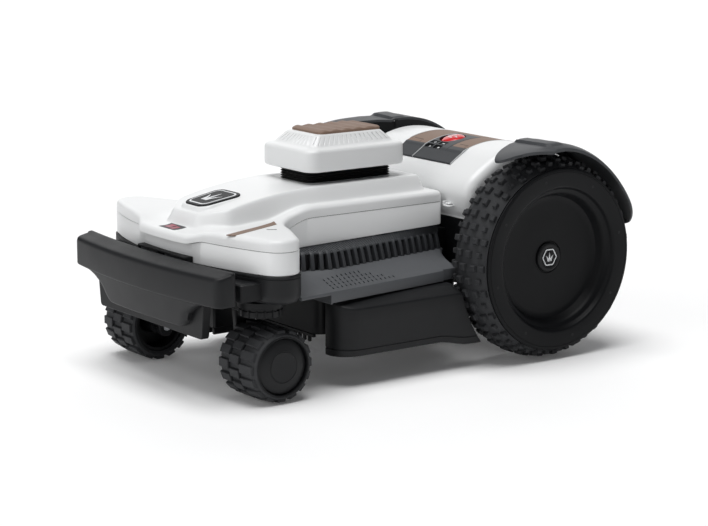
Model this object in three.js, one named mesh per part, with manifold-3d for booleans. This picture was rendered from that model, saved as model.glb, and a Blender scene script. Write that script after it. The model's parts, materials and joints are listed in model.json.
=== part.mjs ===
// Robotic lawn mower, in millimetres.
// +Z is up, -Y is the way it drives, +X is its own left side.
// The origin is on the ground, at the middle of the whole machine's box.
import * as THREE from 'three';
import { mergeVertices } from 'three/addons/utils/BufferGeometryUtils.js';
import Module from 'manifold-3d';

const wasm = await Module();
wasm.setup();

// ---------- driving dimensions ----------
const GAP = 0.3;                 // clearance between pieces that touch
// drive wheels
const AXLE_Y = 207.5;
const WHEEL_R = 150;
const WHEEL_IN_X = 147;
const WHEEL_OUT_X = 226;
const RIM_R = 134;
const DISH_FLOOR_X = 200;
const SHAFT_R = 8;

// front casters
const CASTER_R = 52.5;
const CASTER_X = 157;
const CASTER_Y = -263;
const CASTER_TRAIL = 6;
const SWIVEL_Y = CASTER_Y - CASTER_TRAIL;
const CASTER_OUT_X = 204;

// T-shaped body: two lobes over the casters and a stem that runs back between the wheels
const LOBE_X = 187.7;
const LOBE_Y = -260.5;
const LOBE_R = 28.7;
const FRONT_R = 562;
const STEM_X = 97;
const STEM_BACK_Y = 92.5;
const STEM_FRONT_Y = -178;
const SPINE_X = 74;
const SEAM_STEP_Y = -190;
const WAIST = [[148.7, -211], [125, -206.5], [107, -197]];
const LOBE_BACK_ANGLE = THREE.MathUtils.degToRad(64.8);

// heights of the stacked shells
const TRAY_Z = 141;
const COVER_Z = 181;
const LOBE_SEAM_Z = 213;
const LOBE_TOP_Z = 229;
const STEM_COVER_Z = 190;
const STEM_SEAM_Z = 230;
const STEM_TOP_Z = 246;
const PLATEAU_NOSE_Z = 240;
const PLATEAU_Z = 268;
const BADGE_Y = -246;
const BADGE_TOP_Z = 256.4;
const BADGE_TILT = 9.1;            // degrees
const WINDOW_Y = -312;
const WINDOW_BACK_Y = -296;
const WINDOW_SLOPE = 0.2;
const FLANGE_Z = 160;
const STEP_LOW_Z = 124.5;
const SKIRT_TOP_Z = 113;
const SKIRT_Z = 45;
const DECK_RIM_Z = 69;

// cutting head
const HEAD_Y = -37.5;
const MOTOR_R = 38;
const CAP_Z = 286;
const CAP_ROOF_Z = 314;
const PAD_Z = 337;
const PAD_TOP_Z = 342;
const BLADE_Z = 45;
const BLADE_R = 112;

// rear cover and saddle
const REAR_COVER_X = 145;
const REAR_COVER_R = 157;
const REAR_COVER_Z = 205;
const SADDLE_X = 70;
const SADDLE_DEPTH = 7;
const SADDLE_FRONT_Y = AXLE_Y - 62;
const SADDLE_BACK_Y = AXLE_Y + 95;

// fenders and bumper: the origin lies midway between the fenders' tail and the bumper's nose
const FENDER_R = 170;
const FENDER_END_RISE = 13;
const TAIL_Y = AXLE_Y + Math.sqrt(FENDER_R ** 2 - FENDER_END_RISE ** 2);
const NOSE_Y = -TAIL_Y;
const FENDER_T = 4;
const FENDER_OUT_X = 228;
const BUMPER_R = 1190;
const BUMPER_X = 194;
const BUMPER_Z = [143, 190];
const BUMPER_BACK_R = 1500;
const BUMPER_T = 33;

// ---------- colours ----------
const look = (color, roughness, metalness = 0) => new THREE.MeshStandardMaterial({ color, roughness, metalness });
const WHITE = look(0xe9eaea, 0.38);
const CHARCOAL = look(0x2b2c2e, 0.55);
const BLACK = look(0x161718, 0.6);
const GREY = look(0x4a4c4f, 0.5);
const BROWN = look(0x8a6f60, 0.6);
const RED = look(0xd9252b, 0.3);
const TYRE = look(0x1f2021, 0.8);
const STEEL = look(0xb4b7ba, 0.3, 1);
const BATTERY = look(0x27406b, 0.5);
const BOARD = look(0x1d5c38, 0.5);

// ---------- helpers ----------
const group = new THREE.Group();

function add(name, geometry, material) {
  const mesh = new THREE.Mesh(geometry, material);
  mesh.name = name;
  group.add(mesh);
  return mesh;
}

function flipFaces(geometry) {
  const index = geometry.index.array;
  for (let i = 0; i < index.length; i += 3) {
    [index[i], index[i + 1]] = [index[i + 1], index[i]];
  }
  return geometry;
}

function signedVolume(geometry) {
  const p = geometry.attributes.position;
  const index = geometry.index.array;
  const [a, b, c] = [new THREE.Vector3(), new THREE.Vector3(), new THREE.Vector3()];
  let sum = 0;
  for (let i = 0; i < index.length; i += 3) {
    a.fromBufferAttribute(p, index[i]);
    b.fromBufferAttribute(p, index[i + 1]);
    c.fromBufferAttribute(p, index[i + 2]);
    sum += a.dot(b.cross(c));
  }
  return sum / 6;
}

// a closed geometry becomes a manifold solid with its faces pointing out
function solid(geometry) {
  geometry.deleteAttribute('normal');
  geometry.deleteAttribute('uv');
  const merged = mergeVertices(geometry, 1e-3);
  if (signedVolume(merged) < 0) {
    flipFaces(merged);
  }
  return new wasm.Manifold(new wasm.Mesh({
    numProp: 3,
    vertProperties: new Float32Array(merged.attributes.position.array),
    triVerts: new Uint32Array(merged.index.array),
  }));
}

function geometryOf(manifold) {
  const mesh = manifold.getMesh();
  const geometry = new THREE.BufferGeometry();
  geometry.setAttribute('position', new THREE.BufferAttribute(mesh.vertProperties, 3));
  geometry.setIndex(new THREE.BufferAttribute(mesh.triVerts, 1));
  geometry.computeVertexNormals();
  return geometry;
}

const union = (first, ...rest) => rest.reduce((sum, other) => sum.add(other), first);
const cut = (first, ...rest) => rest.reduce((left, other) => left.subtract(other), first);

function shapeOf(points) {
  return points instanceof THREE.Shape ? points : new THREE.Shape(points.map(([x, y]) => new THREE.Vector2(x, y)));
}

function extrude(points, length, curveSegments) {
  return new THREE.ExtrudeGeometry(shapeOf(points), { depth: length, bevelEnabled: false, curveSegments });
}

// an outline in XY, standing from z0 to z1
function prismZ(points, z0, z1, curveSegments = 4) {
  return solid(extrude(points, z1 - z0, curveSegments).translate(0, 0, z0));
}

// an outline in YZ, running from x0 to x1
function prismX(points, x0, x1, curveSegments = 4) {
  const turn = new THREE.Matrix4().makeBasis(
    new THREE.Vector3(0, 1, 0),
    new THREE.Vector3(0, 0, 1),
    new THREE.Vector3(1, 0, 0),
  );
  return solid(extrude(points, x1 - x0, curveSegments).applyMatrix4(turn).translate(x0, 0, 0));
}

// an outline in XZ, running from y0 to y1
function prismY(points, y0, y1, curveSegments = 4) {
  const turn = new THREE.Matrix4().makeBasis(
    new THREE.Vector3(1, 0, 0),
    new THREE.Vector3(0, 0, 1),
    new THREE.Vector3(0, -1, 0),
  );
  return solid(extrude(points, y1 - y0, curveSegments).applyMatrix4(turn).translate(0, y1, 0));
}

function box([x0, x1], [y0, y1], [z0, z1]) {
  const geometry = new THREE.BoxGeometry(x1 - x0, y1 - y0, z1 - z0);
  return solid(geometry.translate((x0 + x1) / 2, (y0 + y1) / 2, (z0 + z1) / 2));
}

function lathe(profile, segments) {
  return new THREE.LatheGeometry(profile.map(([r, h]) => new THREE.Vector2(r, h)), segments);
}

// a profile of [radius, x] turned about the line through y, z along X
function turnX(profile, y, z, segments = 36) {
  return solid(lathe(profile, segments).rotateZ(-Math.PI / 2).translate(0, y, z));
}

// a profile of [radius, z] turned about the upright line through x, y
function turnZ(profile, x, y, segments = 24) {
  return solid(lathe(profile, segments).rotateX(Math.PI / 2).translate(x, y, 0));
}

const rod = (r, h0, h1) => [[0, h0], [r, h0], [r, h1], [0, h1]];

function roundedRect(x0, x1, y0, y1, r) {
  const shape = new THREE.Shape();
  shape.absarc(x1 - r, y0 + r, r, -Math.PI / 2, 0);
  shape.absarc(x1 - r, y1 - r, r, 0, Math.PI / 2);
  shape.absarc(x0 + r, y1 - r, r, Math.PI / 2, Math.PI);
  shape.absarc(x0 + r, y0 + r, r, Math.PI, 1.5 * Math.PI);
  shape.closePath();
  return shape;
}

const mirrorPoints = (points) => points.concat(points.map(([x, y]) => [-x, y]).reverse());

// moves the points of a solid with a function of their place
function bend(manifold, move) {
  return manifold.warp((p) => {
    [p[0], p[1], p[2]] = move(p[0], p[1], p[2]);
  });
}

// adds a left piece and its mirror image
function addPair(name, manifold, material) {
  add(`${name}_left`, geometryOf(manifold), material);
  const mirrored = geometryOf(manifold);
  mirrored.scale(-1, 1, 1);
  add(`${name}_right`, flipFaces(mirrored), material);
}

const addSolid = (name, manifold, material) => add(name, geometryOf(manifold), material);

function arcPoints(cx, cy, r, from, to, steps) {
  const points = [];
  for (let i = 0; i <= steps; i += 1) {
    const angle = from + ((to - from) * i) / steps;
    points.push([cx + r * Math.cos(angle), cy + r * Math.sin(angle)]);
  }
  return points;
}

// the T outline's lobe end, from the middle of the front round to the waist; grow makes it larger all round
function lobeHalf(grow) {
  const r = LOBE_R + grow;
  const frontR = FRONT_R + grow;
  const centreY = LOBE_Y + Math.sqrt((FRONT_R - LOBE_R) ** 2 - LOBE_X ** 2);
  const meet = Math.atan2(LOBE_Y - centreY, LOBE_X);
  const waist = WAIST.map(([x, y]) => [x + grow, y + grow]);
  return [
    ...arcPoints(0, centreY, frontR, -Math.PI / 2, meet, 5),
    ...arcPoints(LOBE_X, LOBE_Y, r, meet, LOBE_BACK_ANGLE, 7).slice(1),
    ...waist,
  ];
}

const lobes = (grow) => mirrorPoints([...lobeHalf(grow), [STEM_X + grow, STEM_FRONT_Y]]);
const stem = (grow, front = STEM_FRONT_Y) => roundedRect(
  -STEM_X - grow, STEM_X + grow, front, STEM_BACK_Y + grow, 7,
);

// ---------- chassis tray under the white shells ----------
function chassisTray() {
  const wall = 4;
  const floor = 5;
  const front = prismZ(lobes(2), TRAY_Z, COVER_Z - GAP);
  const back = prismZ(
    roundedRect(-SPINE_X, SPINE_X, STEM_FRONT_Y - 40, STEM_BACK_Y, 6), FLANGE_Z + GAP, STEM_COVER_Z - GAP,
  );
  const batteryBay = box([-104, 104], [-304, STEM_FRONT_Y - 12], [TRAY_Z + floor, STEM_COVER_Z + 1]);
  const stemBay = box(
    [wall - SPINE_X, SPINE_X - wall], [STEM_FRONT_Y, STEM_BACK_Y - wall], [FLANGE_Z + floor, STEM_COVER_Z + 1],
  );
  const motorHole = turnZ(rod(MOTOR_R + 5, TRAY_Z - 1, STEM_COVER_Z), 0, HEAD_Y);
  let tray = cut(union(front, back), batteryBay, stemBay, motorHole);
  for (const side of [-1, 1]) {
    const bore = turnZ(rod(8.5, TRAY_Z - 1, 176), side * CASTER_X, SWIVEL_Y, 24);
    const guide = box([side * 120 - 6, side * 120 + 6], [-330, -296], [154, 166]);
    tray = cut(tray, bore, guide);
  }
  return tray;
}
addSolid('chassis_tray', chassisTray(), CHARCOAL);

// ---------- lower and upper white covers ----------
function lowerCover() {
  const wall = 4;
  const front = prismZ(lobes(0), COVER_Z, LOBE_SEAM_Z);
  const back = prismZ(stem(0, SEAM_STEP_Y), STEM_COVER_Z, STEM_SEAM_Z);
  const frontBay = prismZ(lobes(-wall), COVER_Z - 1, LOBE_SEAM_Z + 1);
  const backBay = prismZ(stem(-wall, SEAM_STEP_Y - 4), STEM_COVER_Z - 1, STEM_SEAM_Z + 1);
  return cut(union(front, back), frontBay, backBay);
}
addSolid('lower_cover', lowerCover(), WHITE);

// the plateau rises steeply at its nose and levels off towards the cutting head
const plateauTop = (y) => {
  const [nose, flat] = [-292.5, -110];
  const t = THREE.MathUtils.clamp((y - nose) / (flat - nose), 0, 1);
  return PLATEAU_NOSE_Z + (PLATEAU_Z - PLATEAU_NOSE_Z) * (1 - (1 - t) ** 1.9);
};

function plateau(inset, drop) {
  const outline = mirrorPoints([[34 - inset, -292.5 + inset], [66 - inset, -262], [70 - inset, -110], [70 - inset, 78 - inset]]);
  const base = LOBE_SEAM_Z + 4;
  return bend(prismZ(outline, base, PLATEAU_Z), (x, y, z) => {
    const t = (z - base) / (PLATEAU_Z - base);
    return [x * (1.16 - 0.16 * t), y, base + (plateauTop(y) - drop - base) * t];
  });
}

// a rounded plate [half width, half length, corner radius] that lies in the badge's sloping plane
const tiltedPlate = ([halfX, halfY, corner], [low, high]) => prismZ(
  roundedRect(-halfX, halfX, -halfY, halfY, corner), low, high,
).rotate([BADGE_TILT, 0, 0]).translate([0, BADGE_Y, BADGE_TOP_Z]);

// the sloping flat that the status window lies on, at the front of the upper cover
const windowSeatTop = (y) => LOBE_TOP_Z + WINDOW_SLOPE * (y - WINDOW_BACK_Y);

function upperCover() {
  const wall = 4;
  const front = prismZ(lobes(0), LOBE_SEAM_Z + GAP, LOBE_TOP_Z);
  const back = prismZ(stem(0, SEAM_STEP_Y - 8), LOBE_SEAM_Z + GAP, STEM_TOP_Z);
  const underStem = box([-150, 150], [SEAM_STEP_Y - GAP, 120], [200, STEM_SEAM_Z + GAP]);
  const beak = prismZ(mirrorPoints([[57, -333.5], [76, -318]]), 208, LOBE_TOP_Z);
  const seatCut = prismX(
    [[-345, windowSeatTop(-345)], [WINDOW_BACK_Y, LOBE_TOP_Z], [WINDOW_BACK_Y, 240], [-345, 240]], -80, 80,
  );
  const underSeat = box([-84, 84], [-340, WINDOW_BACK_Y], [LOBE_SEAM_Z + 1, 240]);
  const behindBeak = prismZ(lobes(GAP), 200, LOBE_SEAM_Z + GAP);
  const frontBay = cut(prismZ(lobes(-wall), LOBE_SEAM_Z - 1, LOBE_TOP_Z - wall), underSeat);
  const backBay = prismZ(stem(-wall, SEAM_STEP_Y - 4), LOBE_SEAM_Z - 1, STEM_TOP_Z - wall);
  const headHole = prismZ(roundedRect(-36, 36, HEAD_Y - 67, HEAD_Y + 71, 12), 200, 300);
  const badgePad = tiltedPlate([33, 37, 16], [-14, -2 - GAP]);
  const shell = union(front, back, plateau(0, 0), beak, badgePad);
  return cut(shell, behindBeak, underStem, frontBay, backBay, plateau(wall, wall), headHole, seatCut);
}
addSolid('upper_cover', upperCover(), WHITE);

// ---------- badge and status window on the upper cover ----------
addSolid('badge', tiltedPlate([30, 34, 14], [-2, 0]), CHARCOAL);
const statusWindow = add('status_window', geometryOf(box([-20, 20], [-10.5, 10.5], [0, 1])), GREY);
statusWindow.position.set(0, WINDOW_Y, windowSeatTop(WINDOW_Y) + GAP);
statusWindow.rotation.x = Math.atan(WINDOW_SLOPE);

// ---------- charging contacts above the bumper ----------
function contactBridge() {
  const bar = prismZ(mirrorPoints([[65, -333], [65, -323.7]]), 182, 190);
  const face = prismZ(lobes(GAP), 170, 200);
  const slots = [-1, 1].map((side) => box([side * 32 - 24, side * 32 + 24], [-340, -328.6], [184, 188]));
  return cut(bar, face, ...slots);
}
addSolid('contact_bridge', contactBridge(), BLACK);
addPair('charging_contact', box([10, 54], [-332, -329], [184.5, 187.5]), STEEL);

// ---------- cutting deck ----------
// the room that a turning drive wheel needs
const wheelRoom = (side) => turnX(rod(WHEEL_R + 6, side * 143, side * 240), AXLE_Y, WHEEL_R, 48);

const ventLine = [[118, -178], [126, -157], [133, -128.5], [125, -67.5], [116, -14.5], [107, 43.5], [98, 92]];
const stepLine = [[180, -167.5], [150, 77.5]];

function deckHousing() {
  const wall = 4;
  const rise = (x, y) => {
    const i = Math.max(1, ventLine.findIndex((p) => p[1] > y));
    const [[x0, y0], [x1, y1]] = [ventLine[i - 1], ventLine[i]];
    const inner = x0 + ((x1 - x0) * (y - y0)) / (y1 - y0);
    const outer = 180 - (30 * (y + 167.5)) / 245;
    return THREE.MathUtils.clamp((outer - Math.abs(x)) / (outer - inner), 0, 1);
  };
  const flange = mirrorPoints([[110, -167.5], ...stepLine, [100, 92]]);
  const plate = bend(prismZ(flange, TRAY_Z - 4, TRAY_Z).refineToLength(64), (x, y, z) => {
    return [x, y, z + (FLANGE_Z - TRAY_Z) * rise(x, Math.min(y, 91))];
  });
  const steps = [-1, 1].map((side) => prismZ(
    [[180, -167.5], [150, 77.5], [146, 77.5], [176, -167.5]].map(([x, y]) => [side * x, y]),
    STEP_LOW_Z, TRAY_Z - 2,
  ));
  const tub = prismZ(roundedRect(-133, 133, -157.5, STEM_BACK_Y, 30), DECK_RIM_Z, 150);
  const chamber = prismZ(roundedRect(-133 + wall, 133 - wall, -157.5 + wall, STEM_BACK_Y - wall, 26), 0, 138);
  const motorHole = turnZ(rod(MOTOR_R + 5, 100, 200), 0, HEAD_Y);
  const above = box([-92, 92], [-230, 120], [FLANGE_Z, 200]);
  const underLobes = prismZ(lobes(2 + GAP), TRAY_Z - GAP, 200);
  return cut(union(plate, ...steps, tub), chamber, motorHole, above, underLobes, wheelRoom(1), wheelRoom(-1));
}
addSolid('deck_housing', deckHousing(), GREY);

// ---------- side skirts ----------
function sideSkirt() {
  const [inner, outer, wall] = [133 + GAP, 188, 4];
  const [front, back, corner] = [-157.5, 96, 35];
  const plan = new THREE.Shape();
  plan.moveTo(inner, front);
  plan.absarc(outer - corner, front + corner, corner, -Math.PI / 2, 0);
  plan.lineTo(outer, back);
  plan.lineTo(inner, back);
  const bay = new THREE.Shape();
  bay.moveTo(inner - 5, front + wall);
  bay.absarc(outer - corner, front + corner, corner - wall, -Math.PI / 2, 0);
  bay.lineTo(outer - wall, back + 5);
  bay.lineTo(inner - 5, back + 5);
  const ledge = (x, y, z) => {
    const rise = THREE.MathUtils.clamp((outer - x) / 20, 0, 1);
    return [x, y, z > SKIRT_TOP_Z - 8 ? z + 10 * rise : z];
  };
  const body = bend(prismZ(plan, SKIRT_Z - 10, SKIRT_TOP_Z).refineToLength(30), ledge);
  const hollow = prismZ(bay, 0, SKIRT_TOP_Z - 4);
  const bottomCut = prismX([[-200, 0], [200, 0], [200, 30], [70, 35], [20, SKIRT_Z], [-200, SKIRT_Z]], 100, 220);
  return cut(body, hollow, bottomCut, wheelRoom(1));
}
addPair('side_skirt', sideSkirt(), CHARCOAL);

// ---------- slotted vent grilles between the deck and the white shell ----------
function ventGrille() {
  const [wall, top] = [4, STEM_COVER_Z - GAP];
  const inner = ventLine.map(([x, y]) => [x - wall, y]).reverse();
  const skin = prismZ([...ventLine, ...inner], FLANGE_Z + GAP, 187);
  const roofInner = [[SPINE_X + GAP, 92], [SPINE_X + GAP, -178]];
  const roof = prismZ([...ventLine, ...roofInner], 183, top);
  const spokes = [];
  const count = 21;
  for (let i = 0; i < count; i += 1) {
    const y = -166 + (242 * i) / (count - 1);
    spokes.push(box([99, 140], [y - 2.8, y + 2.8], [FLANGE_Z + 3, 182]));
  }
  const underLobes = prismZ(lobes(2 + GAP), 100, 300);
  return cut(union(skin, roof), ...spokes, underLobes);
}
addPair('vent_grille', ventGrille(), CHARCOAL);

// ---------- finger guard comb under the front edge of the deck ----------
function combGuard() {
  const [back, front] = [-153, -157.5];
  let comb = box([-122, 122], [front, back], [64, DECK_RIM_Z - GAP]);
  for (let x = -120; x <= 114; x += 18) {
    comb = comb.add(box([x, x + 7], [front, back], [56, 65]));
  }
  return comb;
}
addSolid('comb_guard', combGuard(), BLACK);

// ---------- rear chassis with the drive motors ----------
function rearChassis() {
  const [front, back, low] = [AXLE_Y - 95, AXLE_Y + 143, 100];
  const side = [
    [front, 118], [front + 18, low], [back - 40, low], [back, 140], [back, REAR_COVER_Z - GAP],
    [front, REAR_COVER_Z - GAP],
  ];
  const shell = prismX(side, -140, 140);
  const bay = box([-135, 135], [front + 5, back - 5], [low + 42, REAR_COVER_Z + 5]);
  const seat = turnX(rod(43, -150, 150), AXLE_Y, WHEEL_R, 24);
  const neck = box([-78, 78], [STEM_BACK_Y + GAP, front + 2], [126, 186]);
  return cut(union(shell, neck), bay, seat);
}
addSolid('rear_chassis', rearChassis(), BLACK);

function driveMotor() {
  const body = turnX([[0, 62], [34, 62], [42, 74], [42, 143], [20, 143], [20, 145.5], [0, 145.5]], AXLE_Y, WHEEL_R, 24);
  return cut(body, turnX(rod(SHAFT_R + 0.4, 120, 150), AXLE_Y, WHEEL_R, 16));
}
addPair('drive_motor', driveMotor(), GREY);

// ---------- rear cover ----------
function coverProfile(offset) {
  const front = [[-95, 205], [-105, 222], [-108.5, 240], [-105, 256], [-95, 268], [-80, 279], [-62, 290]];
  const shifted = front.map(([y, z]) => [AXLE_Y + y + offset, z - (z > 210 ? offset * 0.8 : 0)]);
  const r = REAR_COVER_R - offset;
  const start = Math.PI - Math.acos(46 / r);
  const end = Math.asin((REAR_COVER_Z - WHEEL_R) / r);
  return [...shifted, ...arcPoints(AXLE_Y, WHEEL_R, r, start, end, 14)];
}

const STOP_TILT = THREE.MathUtils.degToRad(14);
const STOP_PLACE = new THREE.Vector3(0, AXLE_Y - 19.5, 297);

// the well that the stop button travels in
const stopWell = () => solid(lathe(rod(20.5, -22, 20), 20).rotateX(Math.PI / 2 + STOP_TILT))
  .translate(STOP_PLACE.toArray());

function rearCover() {
  const outer = prismX(coverProfile(0), -REAR_COVER_X, REAR_COVER_X);
  const inner = prismX(coverProfile(11), -REAR_COVER_X + 4, REAR_COVER_X - 4);
  const under = box([-150, 150], [0, 400], [100, REAR_COVER_Z]);
  const band = box([-SADDLE_X - GAP, SADDLE_X + GAP], [SADDLE_FRONT_Y - 8, SADDLE_BACK_Y + GAP], [200, 320]);
  const bandFloor = prismX(coverProfile(SADDLE_DEPTH), -80, 80);
  const sides = [-1, 1].map((side) => box(
    side < 0 ? [-160, -136] : [136, 160], [AXLE_Y - 60, AXLE_Y + 60], [150, 206],
  ));
  return cut(outer, inner, under, band.subtract(bandFloor), stopWell(), ...sides);
}
addSolid('rear_cover', rearCover(), WHITE);

// ---------- saddle: brown trims and the dark keypad panel ----------
function saddleStrip(x0, x1, top) {
  const skin = prismX(coverProfile(top), x0, x1);
  const floor = prismX(coverProfile(SADDLE_DEPTH - GAP), x0 - 1, x1 + 1);
  const span = box([x0, x1], [SADDLE_FRONT_Y, SADDLE_BACK_Y], [250, 320]);
  const lip = box([x0, x1], [SADDLE_FRONT_Y, SADDLE_FRONT_Y + 6], [279, 287]);
  return cut(skin.intersect(span).add(lip), floor);
}
addPair('saddle_trim', saddleStrip(40, SADDLE_X, 0), BROWN);

const KEY_TILT = THREE.MathUtils.degToRad(24);
const KEY_PLACES = [[-10, -56, 292.2], [10, -56, 292.2], [-10, -46, 297.3], [10, -46, 297.3]];

const atKey = (manifold, [x, y, z]) => manifold
  .rotate([THREE.MathUtils.radToDeg(KEY_TILT), 0, 0])
  .translate([x, AXLE_Y + y, z]);

function keypadPanel() {
  const well = box([-8.5, 8.5], [-4.5, 4.5], [-3.6, 8]);
  return cut(saddleStrip(-40 + GAP, 40 - GAP, 2), stopWell(), ...KEY_PLACES.map((place) => atKey(well, place)));
}
addSolid('keypad_panel', keypadPanel(), CHARCOAL);

const stopButton = add(
  'stop_button',
  geometryOf(solid(lathe([[0, -3.5], [18.5, -3.5], [19.5, 4], [18, 7.5], [11, 10], [0, 11]], 24).rotateX(Math.PI / 2))),
  RED,
);
stopButton.position.copy(STOP_PLACE);
stopButton.rotation.x = STOP_TILT;

KEY_PLACES.forEach((place, i) => {
  const cap = box([-8, 8], [-4, 4], [-1.6, 1.6]);
  addSolid(`key_${i + 1}`, atKey(cap, place), BLACK);
});

// ---------- fenders ----------
function fender() {
  const end = Math.asin(FENDER_END_RISE / FENDER_R);
  const start = THREE.MathUtils.degToRad(97);
  const outer = arcPoints(AXLE_Y, WHEEL_R, FENDER_R, end, start, 14);
  const inner = arcPoints(AXLE_Y, WHEEL_R, FENDER_R - FENDER_T, start, end, 14);
  const tongue = [[AXLE_Y - 60, 317.5], [AXLE_Y - 100, 313.5], [AXLE_Y - 119, 309.5], [AXLE_Y - 100, 308.5]];
  const strip = prismX([...outer, ...tongue, ...inner], REAR_COVER_X + GAP, FENDER_OUT_X);
  const plan = new THREE.Shape();
  plan.moveTo(140, TAIL_Y + 5);
  plan.lineTo(FENDER_OUT_X, TAIL_Y + 5);
  plan.lineTo(FENDER_OUT_X, AXLE_Y - 101);
  plan.quadraticCurveTo(FENDER_OUT_X, AXLE_Y - 117, FENDER_OUT_X - 12, AXLE_Y - 117);
  plan.quadraticCurveTo(178, AXLE_Y - 78, 150, AXLE_Y - 22);
  plan.lineTo(140, AXLE_Y - 14);
  return strip.intersect(prismZ(plan, 100, 330, 6));
}
addPair('fender', fender(), GREY);

// ---------- battery and control board ----------
addSolid('battery_pack', box([-80, 80], [-298, -196], [TRAY_Z + 5 + GAP, 208]), BATTERY);
addSolid('control_board', box([-60, 60], [AXLE_Y - 40, AXLE_Y + 60], [206, 208]), BOARD);

// ---------- bumper ----------
function bumper() {
  const centreY = NOSE_Y + BUMPER_R;
  const half = Math.asin((BUMPER_X - 8) / BUMPER_R);
  const front = arcPoints(0, centreY, BUMPER_R, -Math.PI / 2 - half, -Math.PI / 2 + half, 10);
  const backHalf = Math.asin((BUMPER_X - 8) / BUMPER_BACK_R);
  const backY = NOSE_Y + BUMPER_T + BUMPER_BACK_R;
  const back = arcPoints(0, backY, BUMPER_BACK_R, -Math.PI / 2 + backHalf, -Math.PI / 2 - backHalf, 6);
  const [frontEndX, frontEndY] = front[front.length - 1];
  const corner = [[frontEndX + 6, frontEndY + 3], [BUMPER_X, frontEndY + 11], [BUMPER_X, frontEndY + 24]];
  const mirrored = corner.map(([x, y]) => [-x, y]).reverse();
  const bar = prismZ([...front, ...corner, ...back, ...mirrored], BUMPER_Z[0], BUMPER_Z[1]);
  const chinFront = mirrorPoints([
    [88, 103], [103, 107], [111, 115], [119, 127], [132, 138], [158, BUMPER_Z[0] + 2],
  ]);
  const chin = bend(prismY(chinFront, NOSE_Y, NOSE_Y + 16).refineToLength(60), (x, y, z) => {
    const sweep = (x * x) / (2 * BUMPER_R);
    return [x, y + 2 + sweep + 0.3 * Math.max(0, BUMPER_Z[0] - z), z];
  });
  const sockets = [-1, 1].map((side) => prismY(
    roundedRect(side * 120 - 6, side * 120 + 6, 154, 166, 5.9), NOSE_Y + 16, NOSE_Y + 60, 3,
  ));
  const keelTop = BUMPER_Z[0] + 2;
  const keel = prismY([[-138, 92], [138, 92], [146, keelTop], [-146, keelTop]], NOSE_Y + 17, NOSE_Y + 31);
  return cut(union(bar, chin, keel), ...sockets);
}
addSolid('bumper', bumper(), CHARCOAL);
addPair('bumper_guide', prismY(roundedRect(115, 125, 155, 165, 4.9), NOSE_Y + 27, -296 - GAP, 3), STEEL);

// ---------- cutting head: cap, pad, motor and bellows ----------
function headCap() {
  const [half, front, back] = [63.5, HEAD_Y - 86, HEAD_Y + 90];
  const skirt = prismZ(roundedRect(-half, half, front, back, 18), CAP_Z, 318);
  const collar = bend(prismZ(roundedRect(-half, half, front, back, 18), 318, PAD_Z), (x, y, z) => {
    const t = (z - 318) / (PAD_Z - 318);
    const middle = HEAD_Y + 6;
    return [x * (1 - 0.4 * t), middle + (y - middle) * (1 - 0.36 * t), z];
  });
  const bay = prismZ(roundedRect(-half + 4, half - 4, front + 4, back - 4, 14), CAP_Z - 5, CAP_ROOF_Z);
  return cut(union(skirt, collar), bay);
}
addSolid('head_cap', headCap(), WHITE);
addSolid(
  'head_pad', prismZ(roundedRect(-34.5, 34.5, HEAD_Y - 47, HEAD_Y + 59, 8), PAD_Z + GAP, PAD_TOP_Z), BROWN,
);
addSolid('blade_motor', turnZ([
  [0, 70], [14, 70], [14, 76], [MOTOR_R, 78], [MOTOR_R, 176], [22, 184], [22, 300], [30, CAP_ROOF_Z - GAP],
  [0, CAP_ROOF_Z - GAP],
], 0, HEAD_Y), GREY);

function bellows() {
  const [halfX, front, back] = [41, HEAD_Y - 72, HEAD_Y + 81];
  const top = CAP_ROOF_Z - GAP;
  const base = PLATEAU_Z + GAP;
  const outer = prismZ(roundedRect(-halfX, halfX, front, back, 16), base, top, 4);
  const inner = prismZ(roundedRect(-halfX + 3, halfX - 3, front + 3, back - 3, 13), base - 1, top + 1, 4);
  return outer.subtract(inner);
}
addSolid('bellows', bellows(), BLACK);

// ---------- rotating blade ----------
addSolid('blade_hub', turnZ([
  [0, BLADE_Z + 3 + GAP], [26, BLADE_Z + 3 + GAP], [26, BLADE_Z + 9], [12, BLADE_Z + 14], [12, 70 - GAP], [0, 70 - GAP],
], 0, HEAD_Y), STEEL);

function starBlade() {
  const points = [];
  const arms = 4;
  for (let i = 0; i < arms; i += 1) {
    const turn = (i * 2 * Math.PI) / arms;
    for (const [r, offset] of [[44, -0.5], [BLADE_R - 6, -0.17], [BLADE_R, 0.02], [BLADE_R - 10, 0.12], [46, 0.34]]) {
      points.push([r * Math.cos(turn + offset), HEAD_Y + r * Math.sin(turn + offset)]);
    }
  }
  return prismZ(points, BLADE_Z, BLADE_Z + 3);
}
addSolid('star_blade', starBlade(), STEEL);
addSolid('blade_nut', turnZ(rod(13, BLADE_Z - 9, BLADE_Z - GAP), 0, HEAD_Y, 6), STEEL);

// ---------- drive wheels ----------
const wheelRing = (profile, segments) => turnX(profile, AXLE_Y, WHEEL_R, segments);

addPair('wheel_tyre', wheelRing([
  [118, WHEEL_IN_X + 6], [136, WHEEL_IN_X], [146, WHEEL_IN_X + 8], [WHEEL_R, WHEEL_IN_X + 22],
  [WHEEL_R, WHEEL_OUT_X - 24], [145, WHEEL_OUT_X - 8], [RIM_R + GAP, WHEEL_OUT_X - 1], [RIM_R + GAP, WHEEL_OUT_X - 8],
  [118, WHEEL_OUT_X - 12], [118, WHEEL_IN_X + 6],
], 36), TYRE);

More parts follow.
